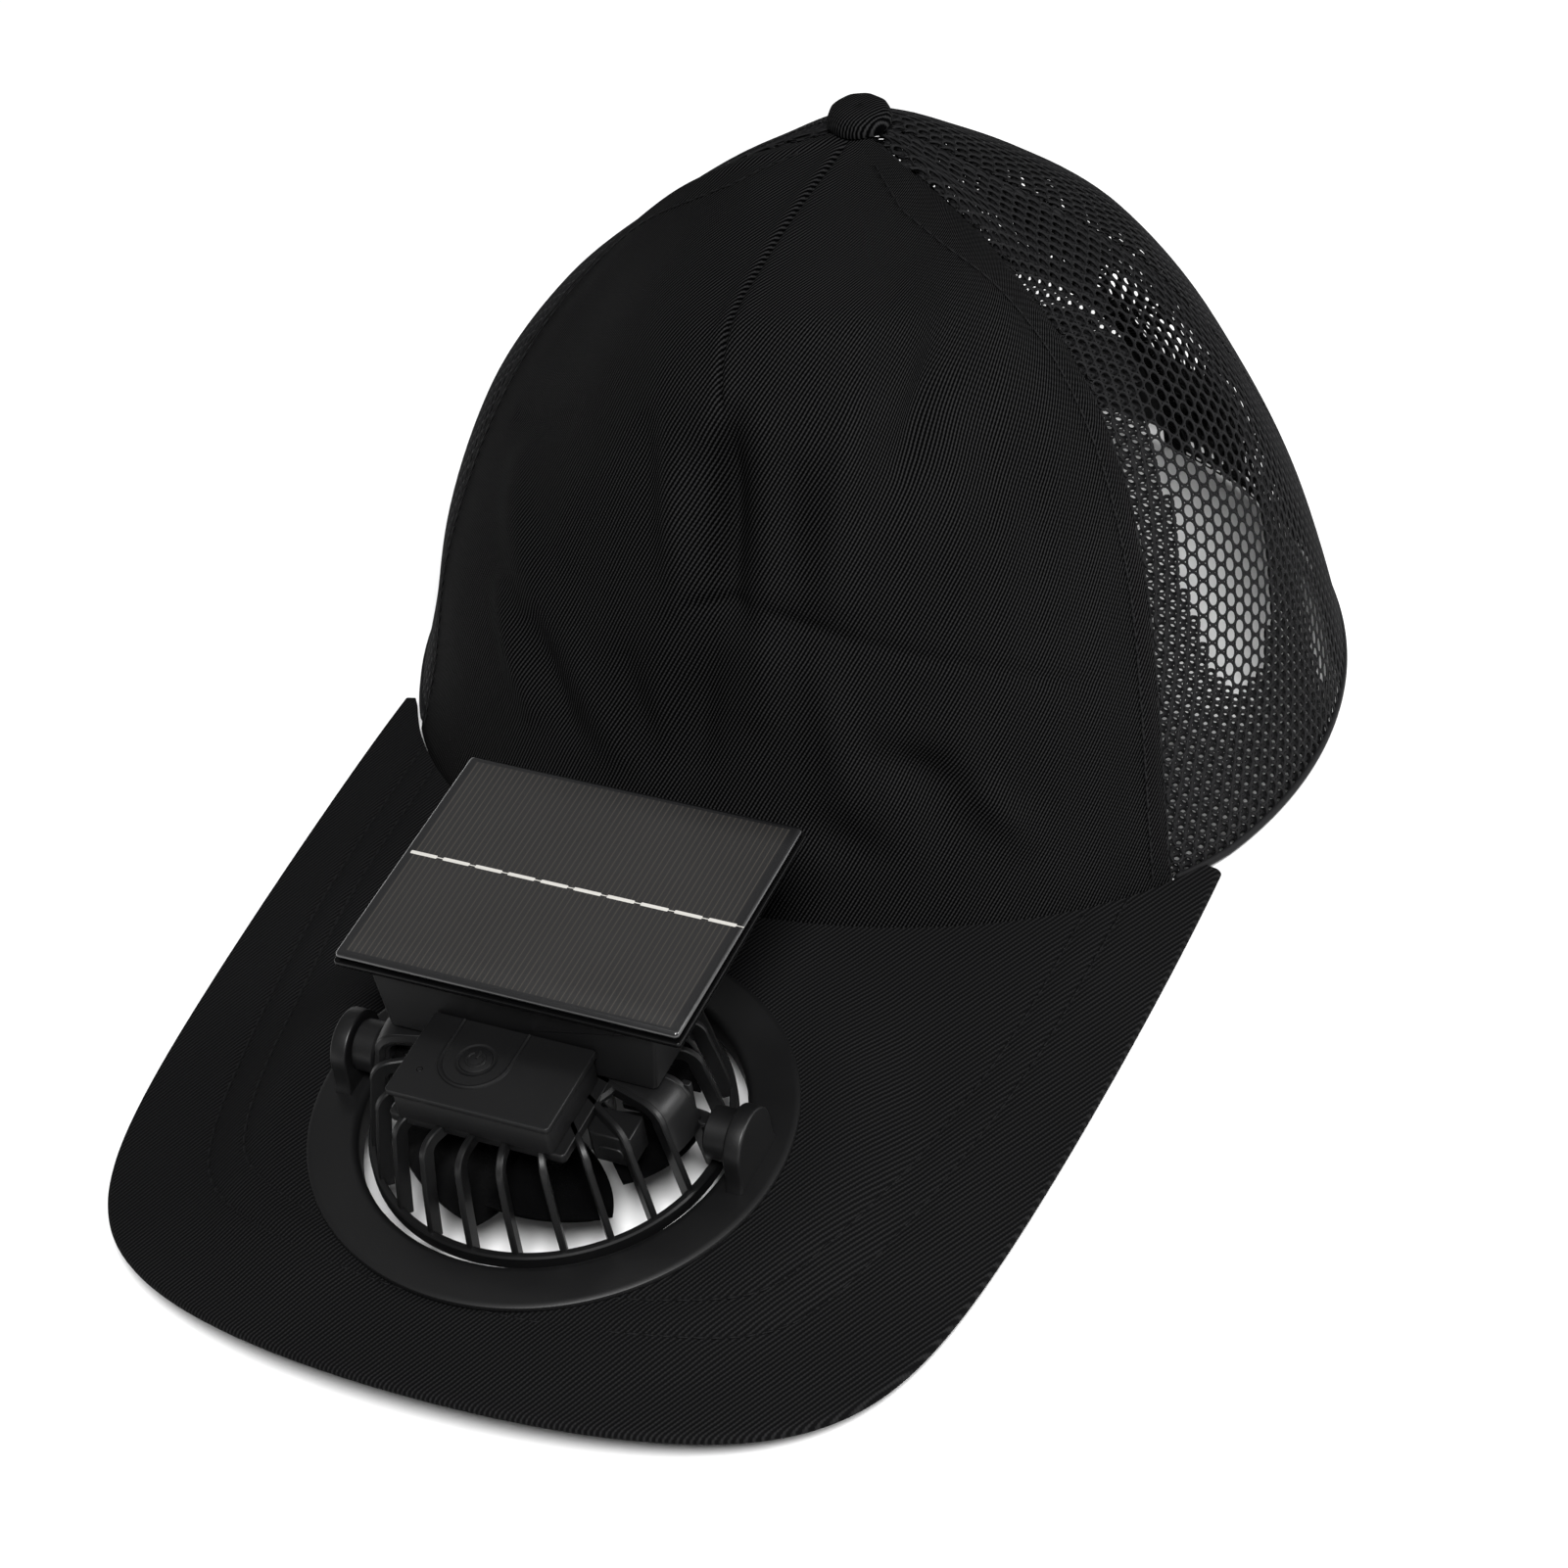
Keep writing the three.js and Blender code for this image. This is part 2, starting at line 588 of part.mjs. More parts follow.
// One cage fin: flat on top, round a shoulder and down to the cage ring, leaning round the axis
// below its shoulder.
function fin(angle) {
  const foot = cageRingHeight / 2 - cageRingDrop;
  const inside = shoulderLine.map(([r, z]) => [r - finDepth, z - finDepth]).reverse();
  const outline = [
    [plateHalfWidth, cageHeight], ...shoulderLine, [cageRadius - finSetback, foot],
    [cageRadius - finDepth, foot], ...inside, [plateHalfWidth, cageHeight - finDepth],
  ];
  const shape = new THREE.Shape(outline.map(([r, z]) => new THREE.Vector2(r, z)));
  const geometry = new THREE.ExtrudeGeometry(shape, { depth: finThickness, bevelEnabled: false });
  geometry.translate(0, 0, -finThickness / 2).rotateX(Math.PI / 2);
  const place = geometry.attributes.position;
  const leanFrom = cageHeight - finShoulder;
  for (let i = 0; i < place.count; i += 1) {
    const lean = finLean * Math.max(0, (leanFrom - place.getZ(i)) / (leanFrom - foot));
    const point = new THREE.Vector3(place.getX(i), place.getY(i), place.getZ(i));
    point.applyAxisAngle(new THREE.Vector3(0, 0, 1), angle + lean);
    place.setXYZ(i, point.x, point.y, point.z);
  }
  return geometry;
}

// The charging port's block, beside the control box and under the tops of the fins.
function portBlock() {
  const inner = plateHalfWidth - portLap;
  const shape = new THREE.Shape([
    new THREE.Vector2(inner, -portFront + portSlant), new THREE.Vector2(inner + portSlant, -portFront),
    new THREE.Vector2(portReach, -portFront), new THREE.Vector2(portReach, -portBack),
    new THREE.Vector2(inner, -portBack),
  ]);
  const geometry = new THREE.ExtrudeGeometry(shape, { depth: portHeight, bevelEnabled: false });
  return geometry.translate(0, 0, cageHeight - portHeight - portDrop);
}

// A solid web beside each arm, that fills the space between two fins from the plate down over the
// shoulder.
function web(side) {
  const outside = [[plateHalfWidth, cageHeight], ...shoulderLine, [cageRadius - shoulderInset / 2, webFoot]];
  const lastRow = outside.length - 1;
  const wallAt = (a, b) => {
    const row = Math.round(b * lastRow);
    const [r, z] = outside[row];
    const turn = -finPhase - webTurn * a;
    const deep = [row === 0 ? 0 : plateThickness, row === lastRow ? 0 : plateThickness];
    const place = (radius, height) => new THREE.Vector3(
      side * radius * Math.cos(turn), radius * Math.sin(turn), height);
    return [place(r - webSink, z - webSink), place(r - webSink - deep[0], z - webSink - deep[1])];
  };
  return shell(wallAt, 4, lastRow);
}

function fanCage() {
  const low = -cageRingDrop;
  const high = low + cageRingHeight;
  const inner = cageRadius - cageRingWall;
  const ring = turned([[inner, low], [cageRadius, low], [cageRadius, high], [inner, high]], 40);
  const fins = Array.from({ length: finCount }, (_, i) => fin((i * 2 * Math.PI) / finCount - finPhase));
  const plateFoot = cageHeight - plateThickness;
  const front = block(-plateHalfWidth, plateHalfWidth, -plateFront, 0, plateFoot, plateTop);
  const rear = block(-plateHalfWidth, plateHalfWidth, 0, plateBack, plateFoot, plateTop);
  const arms = [-1, 1].flatMap((side) => {
    const out = earInner - runningGap;
    const span = (near, far) => [side * near, side * far].sort((a, b) => a - b);
    const boss = crosswiseCylinder(bossRadius, ...span(out - bossLength, out), 20);
    const pin = crosswiseCylinder(pinRadius, ...span(out - bossLength / 2, out + pinLength), 16);
    const half = armWidth / 2;
    const postReach = span(shoulderRadius - postDepth, out - bossLength / 2);
    return [
      boss.translate(0, 0, pivotHeight),
      pin.translate(0, 0, pivotHeight),
      block(...postReach, -half, half, pivotHeight - half, pivotHeight + half),
      block(...span(shoulderRadius - postDepth, shoulderRadius), -half, half, pivotHeight - half, plateTop - half),
      block(...span(plateHalfWidth - 1, shoulderRadius), -half, half, plateFoot - half, plateTop - half),
    ];
  });
  return joined([ring, front, rear, portBlock(), web(-1), web(1), ...fins, ...arms]);
}

function controlBox() {
  const foot = plateTop + runningGap;
  const lidFoot = boxTop - boxLidThickness;
  const lid = block(-boxHalfWidth, boxHalfWidth, -boxFront, -boxBack, lidFoot, boxTop);
  const inset = boxLidLap;
  const body = block(-boxHalfWidth + inset, boxHalfWidth - inset, -boxFront + inset, -boxBack, foot, lidFoot + 0.5);
  const pocketFoot = boxTop - powerButtonHeight - powerButtonTravel;
  const pocket = cylinder(powerButtonHole, pocketFoot, boxTop + 1, 18).translate(powerButtonX, powerButtonY, 0);
  return cut(joined([lid, body]), [pocket]);
}

function powerButton() {
  const top = boxTop + runningGap;
  const foot = top - powerButtonHeight;
  const outline = [[0, foot], [powerButtonRadius, foot], [powerButtonRadius, top - 0.4],
    [powerButtonRadius - 0.4, top], [0, top]];
  return turned(outline, 18).translate(powerButtonX, powerButtonY, 0);
}

// The battery housing under the panel: a block whose ends flare out towards the top.
function batteryHousing() {
  const low = housingBottom;
  const high = housingBottom + housingHeight;
  const shape = new THREE.Shape([
    new THREE.Vector2(-housingHalfWidth, low), new THREE.Vector2(housingHalfWidth, low),
    new THREE.Vector2(housingHalfWidth + housingFlare, high), new THREE.Vector2(-housingHalfWidth - housingFlare, high),
  ]);
  const depth = housingFront + housingBack;
  const geometry = new THREE.ExtrudeGeometry(shape, { depth, bevelEnabled: false });
  return geometry.rotateX(Math.PI / 2).translate(0, housingBack, 0);
}

function plate(margin, z0, thickness) {
  const half = panelHalfWidth - margin;
  return block(-half, half, -panelFront + margin, panelLength - panelFront - margin, z0, z0 + thickness);
}

function motorCan() {
  const foot = motorTop - motorHeight;
  return turned([[0, foot], [motorRadius - 1, foot], [motorRadius, foot + 1], [motorRadius, motorTop], [0, motorTop]], 24);
}

// One pitched blade: a curved wall from inside the hub to its tip.
function blade(angle) {
  const root = hubRadius - 1;
  const wallAt = (a, b) => {
    const r = THREE.MathUtils.lerp(root, bladeRadius, a);
    const z = hubTop - hubHeight / 2 + (b - 0.5) * bladeHeight;
    const turn = angle - (b - 0.5) * bladeSweep - 0.25 * a * bladeSweep;
    const at = (offset) => new THREE.Vector3(r * Math.cos(turn), r * Math.sin(turn), z + offset);
    return [at(-bladeWall / 2), at(bladeWall / 2)];
  };
  return shell(wallAt, 4, 3);
}

function rotor() {
  const foot = hubTop - hubHeight;
  const hub = turned([[0, foot], [hubRadius - 1.5, foot], [hubRadius, foot + 1.5], [hubRadius, hubTop], [0, hubTop]], 24);
  const blades = Array.from({ length: bladeCount }, (_, i) => blade((i * 2 * Math.PI) / bladeCount));
  return joined([hub, ...blades]);
}

function finish(color, roughness, metalness = 0) {
  return new THREE.MeshStandardMaterial({ color, roughness, metalness });
}

const twill = finish(0x121216, 0.85);
const net = finish(0x101012, 0.8);
const webbing = finish(0x131313, 0.8);
const blackPlastic = finish(0x1b1b1d, 0.42);
const glossPlastic = finish(0x141416, 0.3);
const epoxyCell = finish(0x1c1712, 0.12, 0.2);
const motorSteel = finish(0x55565a, 0.4, 0.8);

function piece(name, geometry, material) {
  const mesh = new THREE.Mesh(geometry, material);
  mesh.name = name;
  return mesh;
}

const cap = new THREE.Group();
cap.add(
  piece("crown_front", frontPanel(), twill),
  piece("net_side_left", sideNet(-1), net),
  piece("net_side_right", sideNet(1), net),
  piece("net_back_left", backNet(-1), net),
  piece("net_back_right", backNet(1), net),
  piece("crown_button", capButton(), twill),
  piece("visor", visor(), twill),
  piece("arch_binding", archBinding(), twill),
  piece("rear_strap", rearStrap(), webbing),
  piece("strap_buckle", strapBuckle(), glossPlastic),
  piece("flange_ring", flangeRing(), blackPlastic),
  piece("retaining_ring", retainingRing(), blackPlastic),
);

const fanHead = new THREE.Group();
fanHead.position.z = ringTop;
fanHead.add(
  piece("fan_cage", fanCage(), blackPlastic),
  piece("control_box", controlBox(), blackPlastic),
  piece("power_button", powerButton(), blackPlastic),
  piece("battery_housing", batteryHousing(), blackPlastic),
  piece("solar_backing", plate(0, backingBottom, backingThickness), glossPlastic),
  piece("solar_cell", plate(cellMargin, cellBottom, cellThickness), epoxyCell),
  piece("motor", motorCan(), motorSteel),
  piece("rotor", rotor(), glossPlastic),
);

const group = new THREE.Group();
group.add(cap, fanHead);
const extent = new THREE.Box3().setFromObject(group, true);
group.position.y = -(extent.min.y + extent.max.y) / 2;
group.position.z = -extent.min.z;

export default group;
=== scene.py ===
"""Solar fan hat: a cap with net sides, whose long visor carries a tilting solar fan."""
import math

import bmesh
import bpy
import numpy as np
from mathutils import Matrix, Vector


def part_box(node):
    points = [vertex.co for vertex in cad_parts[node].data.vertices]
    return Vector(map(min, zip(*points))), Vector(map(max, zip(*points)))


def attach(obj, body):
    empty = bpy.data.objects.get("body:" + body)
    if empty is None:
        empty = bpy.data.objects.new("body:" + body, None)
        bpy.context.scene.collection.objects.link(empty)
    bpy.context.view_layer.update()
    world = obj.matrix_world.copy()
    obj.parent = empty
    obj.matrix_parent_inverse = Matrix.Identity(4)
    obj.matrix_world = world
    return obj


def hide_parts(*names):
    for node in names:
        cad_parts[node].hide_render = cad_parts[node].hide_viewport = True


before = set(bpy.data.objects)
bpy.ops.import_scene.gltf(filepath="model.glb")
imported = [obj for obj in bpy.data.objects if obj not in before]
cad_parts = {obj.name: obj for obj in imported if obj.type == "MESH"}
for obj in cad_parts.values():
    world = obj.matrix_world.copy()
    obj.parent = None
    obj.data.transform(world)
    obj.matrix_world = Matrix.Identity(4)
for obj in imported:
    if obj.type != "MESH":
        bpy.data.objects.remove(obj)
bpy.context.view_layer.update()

# Shapes are worked out in millimetres from the fan's centre, with the floor at height 0.
MM = 0.001
FAN_Y = (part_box("retaining_ring")[0][1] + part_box("retaining_ring")[1][1]) / 2
RING_TOP = 15.1
PIVOT_Z = RING_TOP + 6.6

# Fan head
PLATE_HEIGHT = 19.8
PLATE_TOP = RING_TOP + PLATE_HEIGHT
FIN_COUNT, FIN_LEAN = 24, math.radians(1.5)
BLADE_COUNT, BLADE_SWEEP = 7, math.radians(50)
BOX_TOP = RING_TOP + 27.5
BUTTON_X, BUTTON_FROM_FAN = -3.5, -14.0
PANEL_BASE, PANEL_MIDDLE_Y = RING_TOP + 35.3, 21.1
SHOULDER_RADIUS, SHOULDER_BEND = 31.2, 4.7

# Patterns, in metres as the shaders read them
YARN_PITCH = 0.0007
CELL_HALF_WIDTH, CELL_HALF_LENGTH, CELL_LINE_HALF_PITCH = 0.0327, 0.0262, 0.0006

# Cap
CROWN_HEIGHT = 119.0
RIM_HALF_WIDTH, RIM_HALF_LENGTH = 100.0, 92.0
RIM_CENTRE_Y, BUTTON_Y = 151.5, 175.0
FRONT_WALL = 1.6
VISOR_THICKNESS, VISOR_ARCH, VISOR_HALF_WIDTH = 2.3, 11.3, 92.0
VISOR_TIP, VISOR_CORNER_TURN = 66.0, math.radians(62.5)
VISOR_HOLE_RADIUS = 40.5
NET_SEAM_TURN = math.radians(122.0)
HALF_SEAM_GAP, NET_PITCH, NET_RISE = 0.2, 3.05, 2.95
ARCH_HALF_TURN, ARCH_LEVEL = 38.0 / 92.0, 0.31

# The crown's meridians, from rim to button, as in the solids.
LEVELS = np.array([0, 0.12, 0.25, 0.40, 0.55, 0.66, 0.75, 0.83, 0.91, 1.0])
OUT_SHARES = {
    "front": [1, 0.93, 0.86, 0.78, 0.70, 0.645, 0.56, 0.40, 0.21, 0.04],
    "seam": [1, 0.94, 0.89, 0.79, 0.65, 0.535, 0.44, 0.33, 0.18, 0.04],
    "side": [1, 0.96, 0.91, 0.82, 0.64, 0.45, 0.29, 0.17, 0.09, 0.04],
    "back": [1, 1.01, 1.0, 0.935, 0.775, 0.58, 0.40, 0.25, 0.13, 0.04],
}
UP_SHARES = {
    "front": [0, 0.17, 0.34, 0.55, 0.77, 0.90, 0.965, 0.99, 1, 1],
    "seam": [0, 0.15, 0.31, 0.50, 0.69, 0.81, 0.89, 0.95, 0.99, 1],
    "side": [0, 0.15, 0.31, 0.50, 0.69, 0.81, 0.89, 0.95, 0.985, 1],
    "back": [0, 0.14, 0.29, 0.47, 0.66, 0.78, 0.87, 0.94, 0.985, 1],
}
MERIDIAN_TURNS = {"front": 0.0, "seam": 1.0001, "side": 1.8204, "back": math.pi}
SEAM_TURNS = np.radians([57.3, 59.6, 61.9, 66.5, 71.6, 73.6, 72.5, 69.3, 64.2, 57.3])

# Dents and folds: turn, level, spread round, spread up, lean and depth in mm.
FOLDS = [
    (0.05, 0.62, 0.10, 0.05, 0.0, 2.2),
    (0.08, 0.49, 0.08, 0.13, 0.0, -3.2),
    (-0.10, 0.50, 0.12, 0.20, 0.0, 1.6),
    (0.63, 0.63, 0.11, 0.11, 1.6, -3.2),
    (0.84, 0.55, 0.16, 0.16, 0.8, 1.8),
    (0.36, 0.62, 0.16, 0.10, 0.0, 1.6),
    (0.17, 0.38, 0.17, 0.03, 0.0, -1.6),
    (-0.03, 0.22, 0.06, 0.08, 0.0, -2.0),
    (0.54, 0.17, 0.08, 0.07, 0.0, -2.0),
    (-1.95, 0.45, 0.30, 0.16, 0.0, -2.4),
    (2.25, 0.42, 0.34, 0.18, 0.0, -2.4),
]
# On the front panel one radian of turn is about 62 mm, and the levels from 0 to 1 are about 125 mm.
MM_PER_TURN, MM_PER_LEVELS = 62, 125
# Creases of the front panel alone: turn and level of both ends, half width and depth in mm.
CREASES = [
    (0.08, 0.765, 0.72, 0.745, 6.5, 3.0),
    (0.74, 0.72, 0.56, 0.58, 2.6, -2.0),
    (0.80, 0.66, 0.87, 0.50, 9.0, -3.3),
    (0.07, 0.63, 0.06, 0.41, 2.8, -3.3),
    (0.01, 0.36, 0.00, 0.20, 3.4, -2.5),
    (0.145, 0.61, 0.15, 0.28, 3.8, 2.2),
    (0.40, 0.63, 0.32, 0.43, 3.2, 1.7),
    (0.26, 0.56, 0.24, 0.45, 2.6, -1.0),
    (-0.03, 0.388, 0.095, 0.398, 1.2, -1.4),
    (0.17, 0.395, 0.36, 0.376, 1.1, -0.90),
    (0.36, 0.376, 0.65, 0.350, 1.1, -0.68),
    (0.65, 0.350, 0.94, 0.305, 1.3, -0.60),
    (-0.10, 0.60, -0.07, 0.40, 3.2, 1.5),
    (-0.20, 0.59, -0.13, 0.42, 2.8, -1.4),
    (-0.95, 0.50, -0.585, 0.547, 1.8, -1.0),
    (-0.78, 0.46, -0.47, 0.33, 4.5, 1.8),
    (-0.66, 0.33, -0.47, 0.20, 2.6, 1.7),
    (-0.50, 0.31, -0.33, 0.19, 2.4, -1.7),
    (-0.36, 0.30, -0.20, 0.18, 2.6, 1.4),
    (-0.20, 0.30, -0.10, 0.18, 2.6, -1.4),
    (0.43, 0.23, 0.56, 0.20, 4.0, -3.0),
    (0.28, 0.13, 0.38, 0.10, 3.5, -1.7),
    (0.60, 0.21, 0.70, 0.12, 3.0, 1.7),
    (0.30, 0.33, 0.33, 0.18, 3.0, 1.4),
]
# Control points of the visor's edge, as shares across and towards the tip.
VISOR_EDGE = np.array([(1, 0), (1, 0.546), (0.897, 0.817), (0.974, 0.853), (0.702, 1), (0, 1)])


def smooth_step(share):
    """Rises from 0 to 1 as three times the square less twice the cube."""
    s = np.clip(share, 0, 1)
    return s * s * (3 - 2 * s)


def bell(share):
    """Falls off on both sides of 0 as e to minus the square."""
    return np.exp(-share * share)


def along_levels(values, t):
    """A monotone cubic through values at LEVELS. Each knot's slope is the harmonic mean of the slopes
    on its two sides."""
    values = np.asarray(values, float)
    width = np.diff(LEVELS)
    slope = np.diff(values) / width
    product = slope[:-1] * slope[1:]
    total = np.where(product > 0, slope[:-1] + slope[1:], 1)
    tangent = np.concatenate([slope[:1], np.where(product > 0, 2 * product / total, 0), slope[-1:]])
    k = np.clip(np.searchsorted(LEVELS, t, side="right") - 1, 0, len(LEVELS) - 2)
    s = (t - LEVELS[k]) / width[k]
    bend = s * s * (3 - 2 * s)
    pull = width[k] * s * (1 - s) * ((1 - s) * tangent[k] - s * tangent[k + 1])
    return values[k] * (1 - bend) + values[k + 1] * bend + pull


def visor_underside(x, y):
    """An arch, one less the square of the way across, that goes flat near the fan."""
    fall = smooth_step((np.hypot(x, y) - 49.5) / 20) * (x / VISOR_HALF_WIDTH) ** 2
    return VISOR_ARCH * np.maximum(0, 1 - fall)


def plain_crown(turn, t):
    """Each meridian goes from an elliptical rim to the button's axis, by shares out and shares up
    that blend smoothly between the two nearest named meridians."""
    turn, t = np.broadcast_arrays(np.asarray(turn, float), np.asarray(t, float))
    side = np.abs(turn)
    names = list(MERIDIAN_TURNS)
    weights = {name: np.zeros(turn.shape) for name in names}
    for near, far in zip(names, names[1:]):
        start, end = MERIDIAN_TURNS[near], MERIDIAN_TURNS[far]
        inside = (side >= start) & ((side < end) | (far == "back"))
        blend = smooth_step((side - start) / (end - start))
        weights[near] = weights[near] + np.where(inside, 1 - blend, 0)
        weights[far] = weights[far] + np.where(inside, blend, 0)
    out = sum(weights[name] * along_levels(OUT_SHARES[name], t) for name in names)
    up = sum(weights[name] * along_levels(UP_SHARES[name], t) for name in names)
    rim_x = RIM_HALF_WIDTH * np.sin(turn)
    rim_y = RIM_CENTRE_Y - RIM_HALF_LENGTH * np.cos(turn)
    rim_z = np.where(side < math.pi / 2, visor_underside(rim_x, rim_y), 0)
    y = BUTTON_Y + (rim_y - BUTTON_Y) * out
    return np.stack([rim_x * out, y, rim_z + (CROWN_HEIGHT - rim_z) * up], -1)


def unit(vectors):
    """Each vector divided by its own length."""
    return vectors / np.maximum(np.linalg.norm(vectors, axis=-1, keepdims=True), 1e-9)


def run_along(line):
    """The length of a line from its start to each of its points."""
    return np.concatenate([[0], np.cumsum(np.linalg.norm(np.diff(line, axis=0), axis=-1))])


def points_at(marks, run, line):
    """The points of a line at the given lengths along it."""
    return np.stack([np.interp(marks, run, axis) for axis in line.T], -1)


def crown_normal(turn, t):
    """The cross product of the crown's slopes round and up, from small steps."""
    low = np.clip(t, 0, 1 - 1e-3)
    up = plain_crown(turn, low + 1e-3) - plain_crown(turn, low)
    across = plain_crown(turn + 1e-3, low) - plain_crown(turn - 1e-3, low)
    return unit(np.cross(across, up))


def fold_relief(turn, t):
    """A sum of leaning bells, one for each fold."""
    total = np.zeros(np.broadcast(turn, t).shape)
    for fold_turn, level, turn_spread, level_spread, lean, depth in FOLDS:
        off = t - level
        total += depth * bell((turn - fold_turn - lean * off) / turn_spread) * bell(off / level_spread)
    return total * smooth_step(t / 0.1)


def crease_relief(turn, t):
    """Each crease is a straight line between its ends: e to minus the square of the distance from it,
    in half widths, times its depth, and half as deep at its ends."""
    x, y = turn * MM_PER_TURN, t * MM_PER_LEVELS
    total = np.zeros(np.broadcast(turn, t).shape)
    for turn0, t0, turn1, t1, width, depth in CREASES:
        from_x, from_y = x - turn0 * MM_PER_TURN, y - t0 * MM_PER_LEVELS
        run_x, run_y = (turn1 - turn0) * MM_PER_TURN, (t1 - t0) * MM_PER_LEVELS
        share = np.clip((from_x * run_x + from_y * run_y) / (run_x ** 2 + run_y ** 2), 0, 1)
        off = np.hypot(from_x - share * run_x, from_y - share * run_y)
        total += depth * bell(off / width) * (1 - 0.5 * (2 * share - 1) ** 2)
    return total * smooth_step(t / 0.1)


def crown(turn, t, lift):
    """The plain crown, moved along its normal by the folds and by lift, which is level near the rim."""
    normal = crown_normal(turn, t)
    folded = plain_crown(turn, t) + normal * fold_relief(turn, t)[..., None]
    level = normal.copy()
    level[..., 2] *= smooth_step(t / 0.1)
    return folded + unit(level) * np.asarray(lift)[..., None]


# Mesh building

def grid_faces(rows, columns, wrap_rows=False, wrap_columns=False):
    """The quads of a grid of points, rows by columns, joined round where asked."""
    i = np.arange(rows if wrap_rows else rows - 1)[:, None]
    j = np.arange(columns if wrap_columns else columns - 1)[None, :]
    i2, j2 = (i + 1) % rows, (j + 1) % columns
    corners = [i * columns + j, i2 * columns + j, i2 * columns + j2, i * columns + j2]
    return np.stack(np.broadcast_arrays(*corners), -1).reshape(-1, 4)


def sheet_part(top, bottom, keep=None):
    """A wall between two grids of points. Its edge, and the edge of any quads left out, is closed by
    quads from the top to the bottom."""
    rows, columns = top.shape[:2]
    faces = grid_faces(rows, columns)
    if keep is not None:
        faces = faces[keep.reshape(-1)]
    count = rows * columns
    starts, ends = faces.reshape(-1), np.roll(faces, -1, axis=1).reshape(-1)
    open_edge = ~np.isin(starts * count + ends, ends * count + starts)
    a, b = starts[open_edge], ends[open_edge]
    walls = np.stack([b, a, a + count, b + count], -1)
    points = np.concatenate([top.reshape(-1, 3), bottom.reshape(-1, 3)])
    return points, np.concatenate([faces, faces[:, ::-1] + count, walls])


def ring_part(grid, wrap_rows=True):
    """A grid whose columns close on themselves. Where its rows don't close, each end is capped."""
    rows, columns = grid.shape[:2]
    faces = list(grid_faces(rows, columns, wrap_rows, True))
    if not wrap_rows:
        faces += [np.arange(columns)[::-1], np.arange(columns) + (rows - 1) * columns]
    return grid.reshape(-1, 3), faces


def lathe_part(profile, segments, centre=(0, 0)):
    """A closed outline of radius and height, turned about the upright axis."""
    radius, height = np.array(profile, float).T
    angle = np.arange(segments)[:, None] * 2 * math.pi / segments
    x, y = centre[0] + radius * np.cos(angle), centre[1] + radius * np.sin(angle)
    return ring_part(np.stack([x, y, np.broadcast_to(height, x.shape)], -1))


def tube_part(path, radius, sides, flat=1.0, facing=(0, 0, 1)):
    """Circles, or ellipses flattened along the facing direction, carried along a path."""
    tangent = unit(np.gradient(path, axis=0))
    across = unit(np.cross(tangent, np.broadcast_to(facing, path.shape)))
    out = np.cross(across, tangent)
    angle = np.arange(sides) * 2 * math.pi / sides
    cosine, sine = np.cos(angle)[None, :, None], np.sin(angle)[None, :, None]
    circle = across[:, None] * cosine + flat * out[:, None] * sine
    return ring_part(path[:, None] + radius * circle, wrap_rows=False)


def rounded_outline(x0, x1, y0, y1, radius, steps=6):
    """A rectangle whose corners are quarter circles, anticlockwise."""
    left, right, low, high = x0 + radius, x1 - radius, y0 + radius, y1 - radius
    quarter = np.linspace(0, math.pi / 2, steps)
    corners = []
    for k, (x, y) in enumerate([(right, high), (left, high), (left, low), (right, low)]):
        angle = quarter + k * math.pi / 2
        corners.append(np.stack([x + radius * np.cos(angle), y + radius * np.sin(angle)], -1))
    return np.concatenate(corners)


def slab_part(outline, low, high, edge, axes=(0, 1, 2)):
    """An outline between two heights, drawn in by a quarter circle of the edge's radius at both. The
    ends go in 1.15 radii, and axes says which axis each of across, along and height is."""
    outline = np.asarray(outline, float)
    ahead, behind = np.roll(outline, -1, 0) - outline, outline - np.roll(outline, 1, 0)
    turned = [unit(np.stack([d[:, 1], -d[:, 0]], -1)) for d in (ahead, behind)]
    outward = unit(turned[0] + turned[1])
    outward = outward / np.maximum(0.5, np.sum(outward * turned[0], -1, keepdims=True))
    angle = np.linspace(0, math.pi / 2, 4)
    inset = np.concatenate([[1.15], 1 - np.sin(angle), 1 - np.cos(angle), [1.15]]) * edge
    rise, fall = (1 - np.cos(angle)) * edge, (1 - np.sin(angle)) * edge
    height = np.concatenate([[low], low + rise, high - fall, [high]])
    flat = outline[None] - outward[None] * inset[:, None, None]
    grid = np.concatenate([flat, np.broadcast_to(height[:, None, None], flat.shape[:2] + (1,))], -1)
    places = np.empty_like(grid)
    for k, axis in enumerate(axes):
        places[..., axis] = grid[..., k]
    return ring_part(places, wrap_rows=False)


def bead_parts(points, along, facing, length, radius):
    """Short threads, each a flat ellipsoid stretched along its own direction."""
    along, facing = unit(along), unit(facing)
    across = unit(np.cross(along, facing))
    angle = np.arange(6) * math.pi / 3
    station = np.array([-1, -0.8, 0, 0.8, 1])
    girth = np.array([0.25, 0.8, 1, 0.8, 0.25])
    circle = across[:, None, None] * np.cos(angle)[None, None, :, None]
    circle = circle + 0.6 * facing[:, None, None] * np.sin(angle)[None, None, :, None]
    spine = points[:, None] + along[:, None] * station[None, :, None] * length / 2
    grid = spine[:, :, None] + radius * girth[None, :, None, None] * circle
    one = grid_faces(len(station), len(angle), False, True)
    starts = np.arange(len(points)) * len(station) * len(angle)
    return grid.reshape(-1, 3), (one[None] + starts[:, None, None]).reshape(-1, 4)


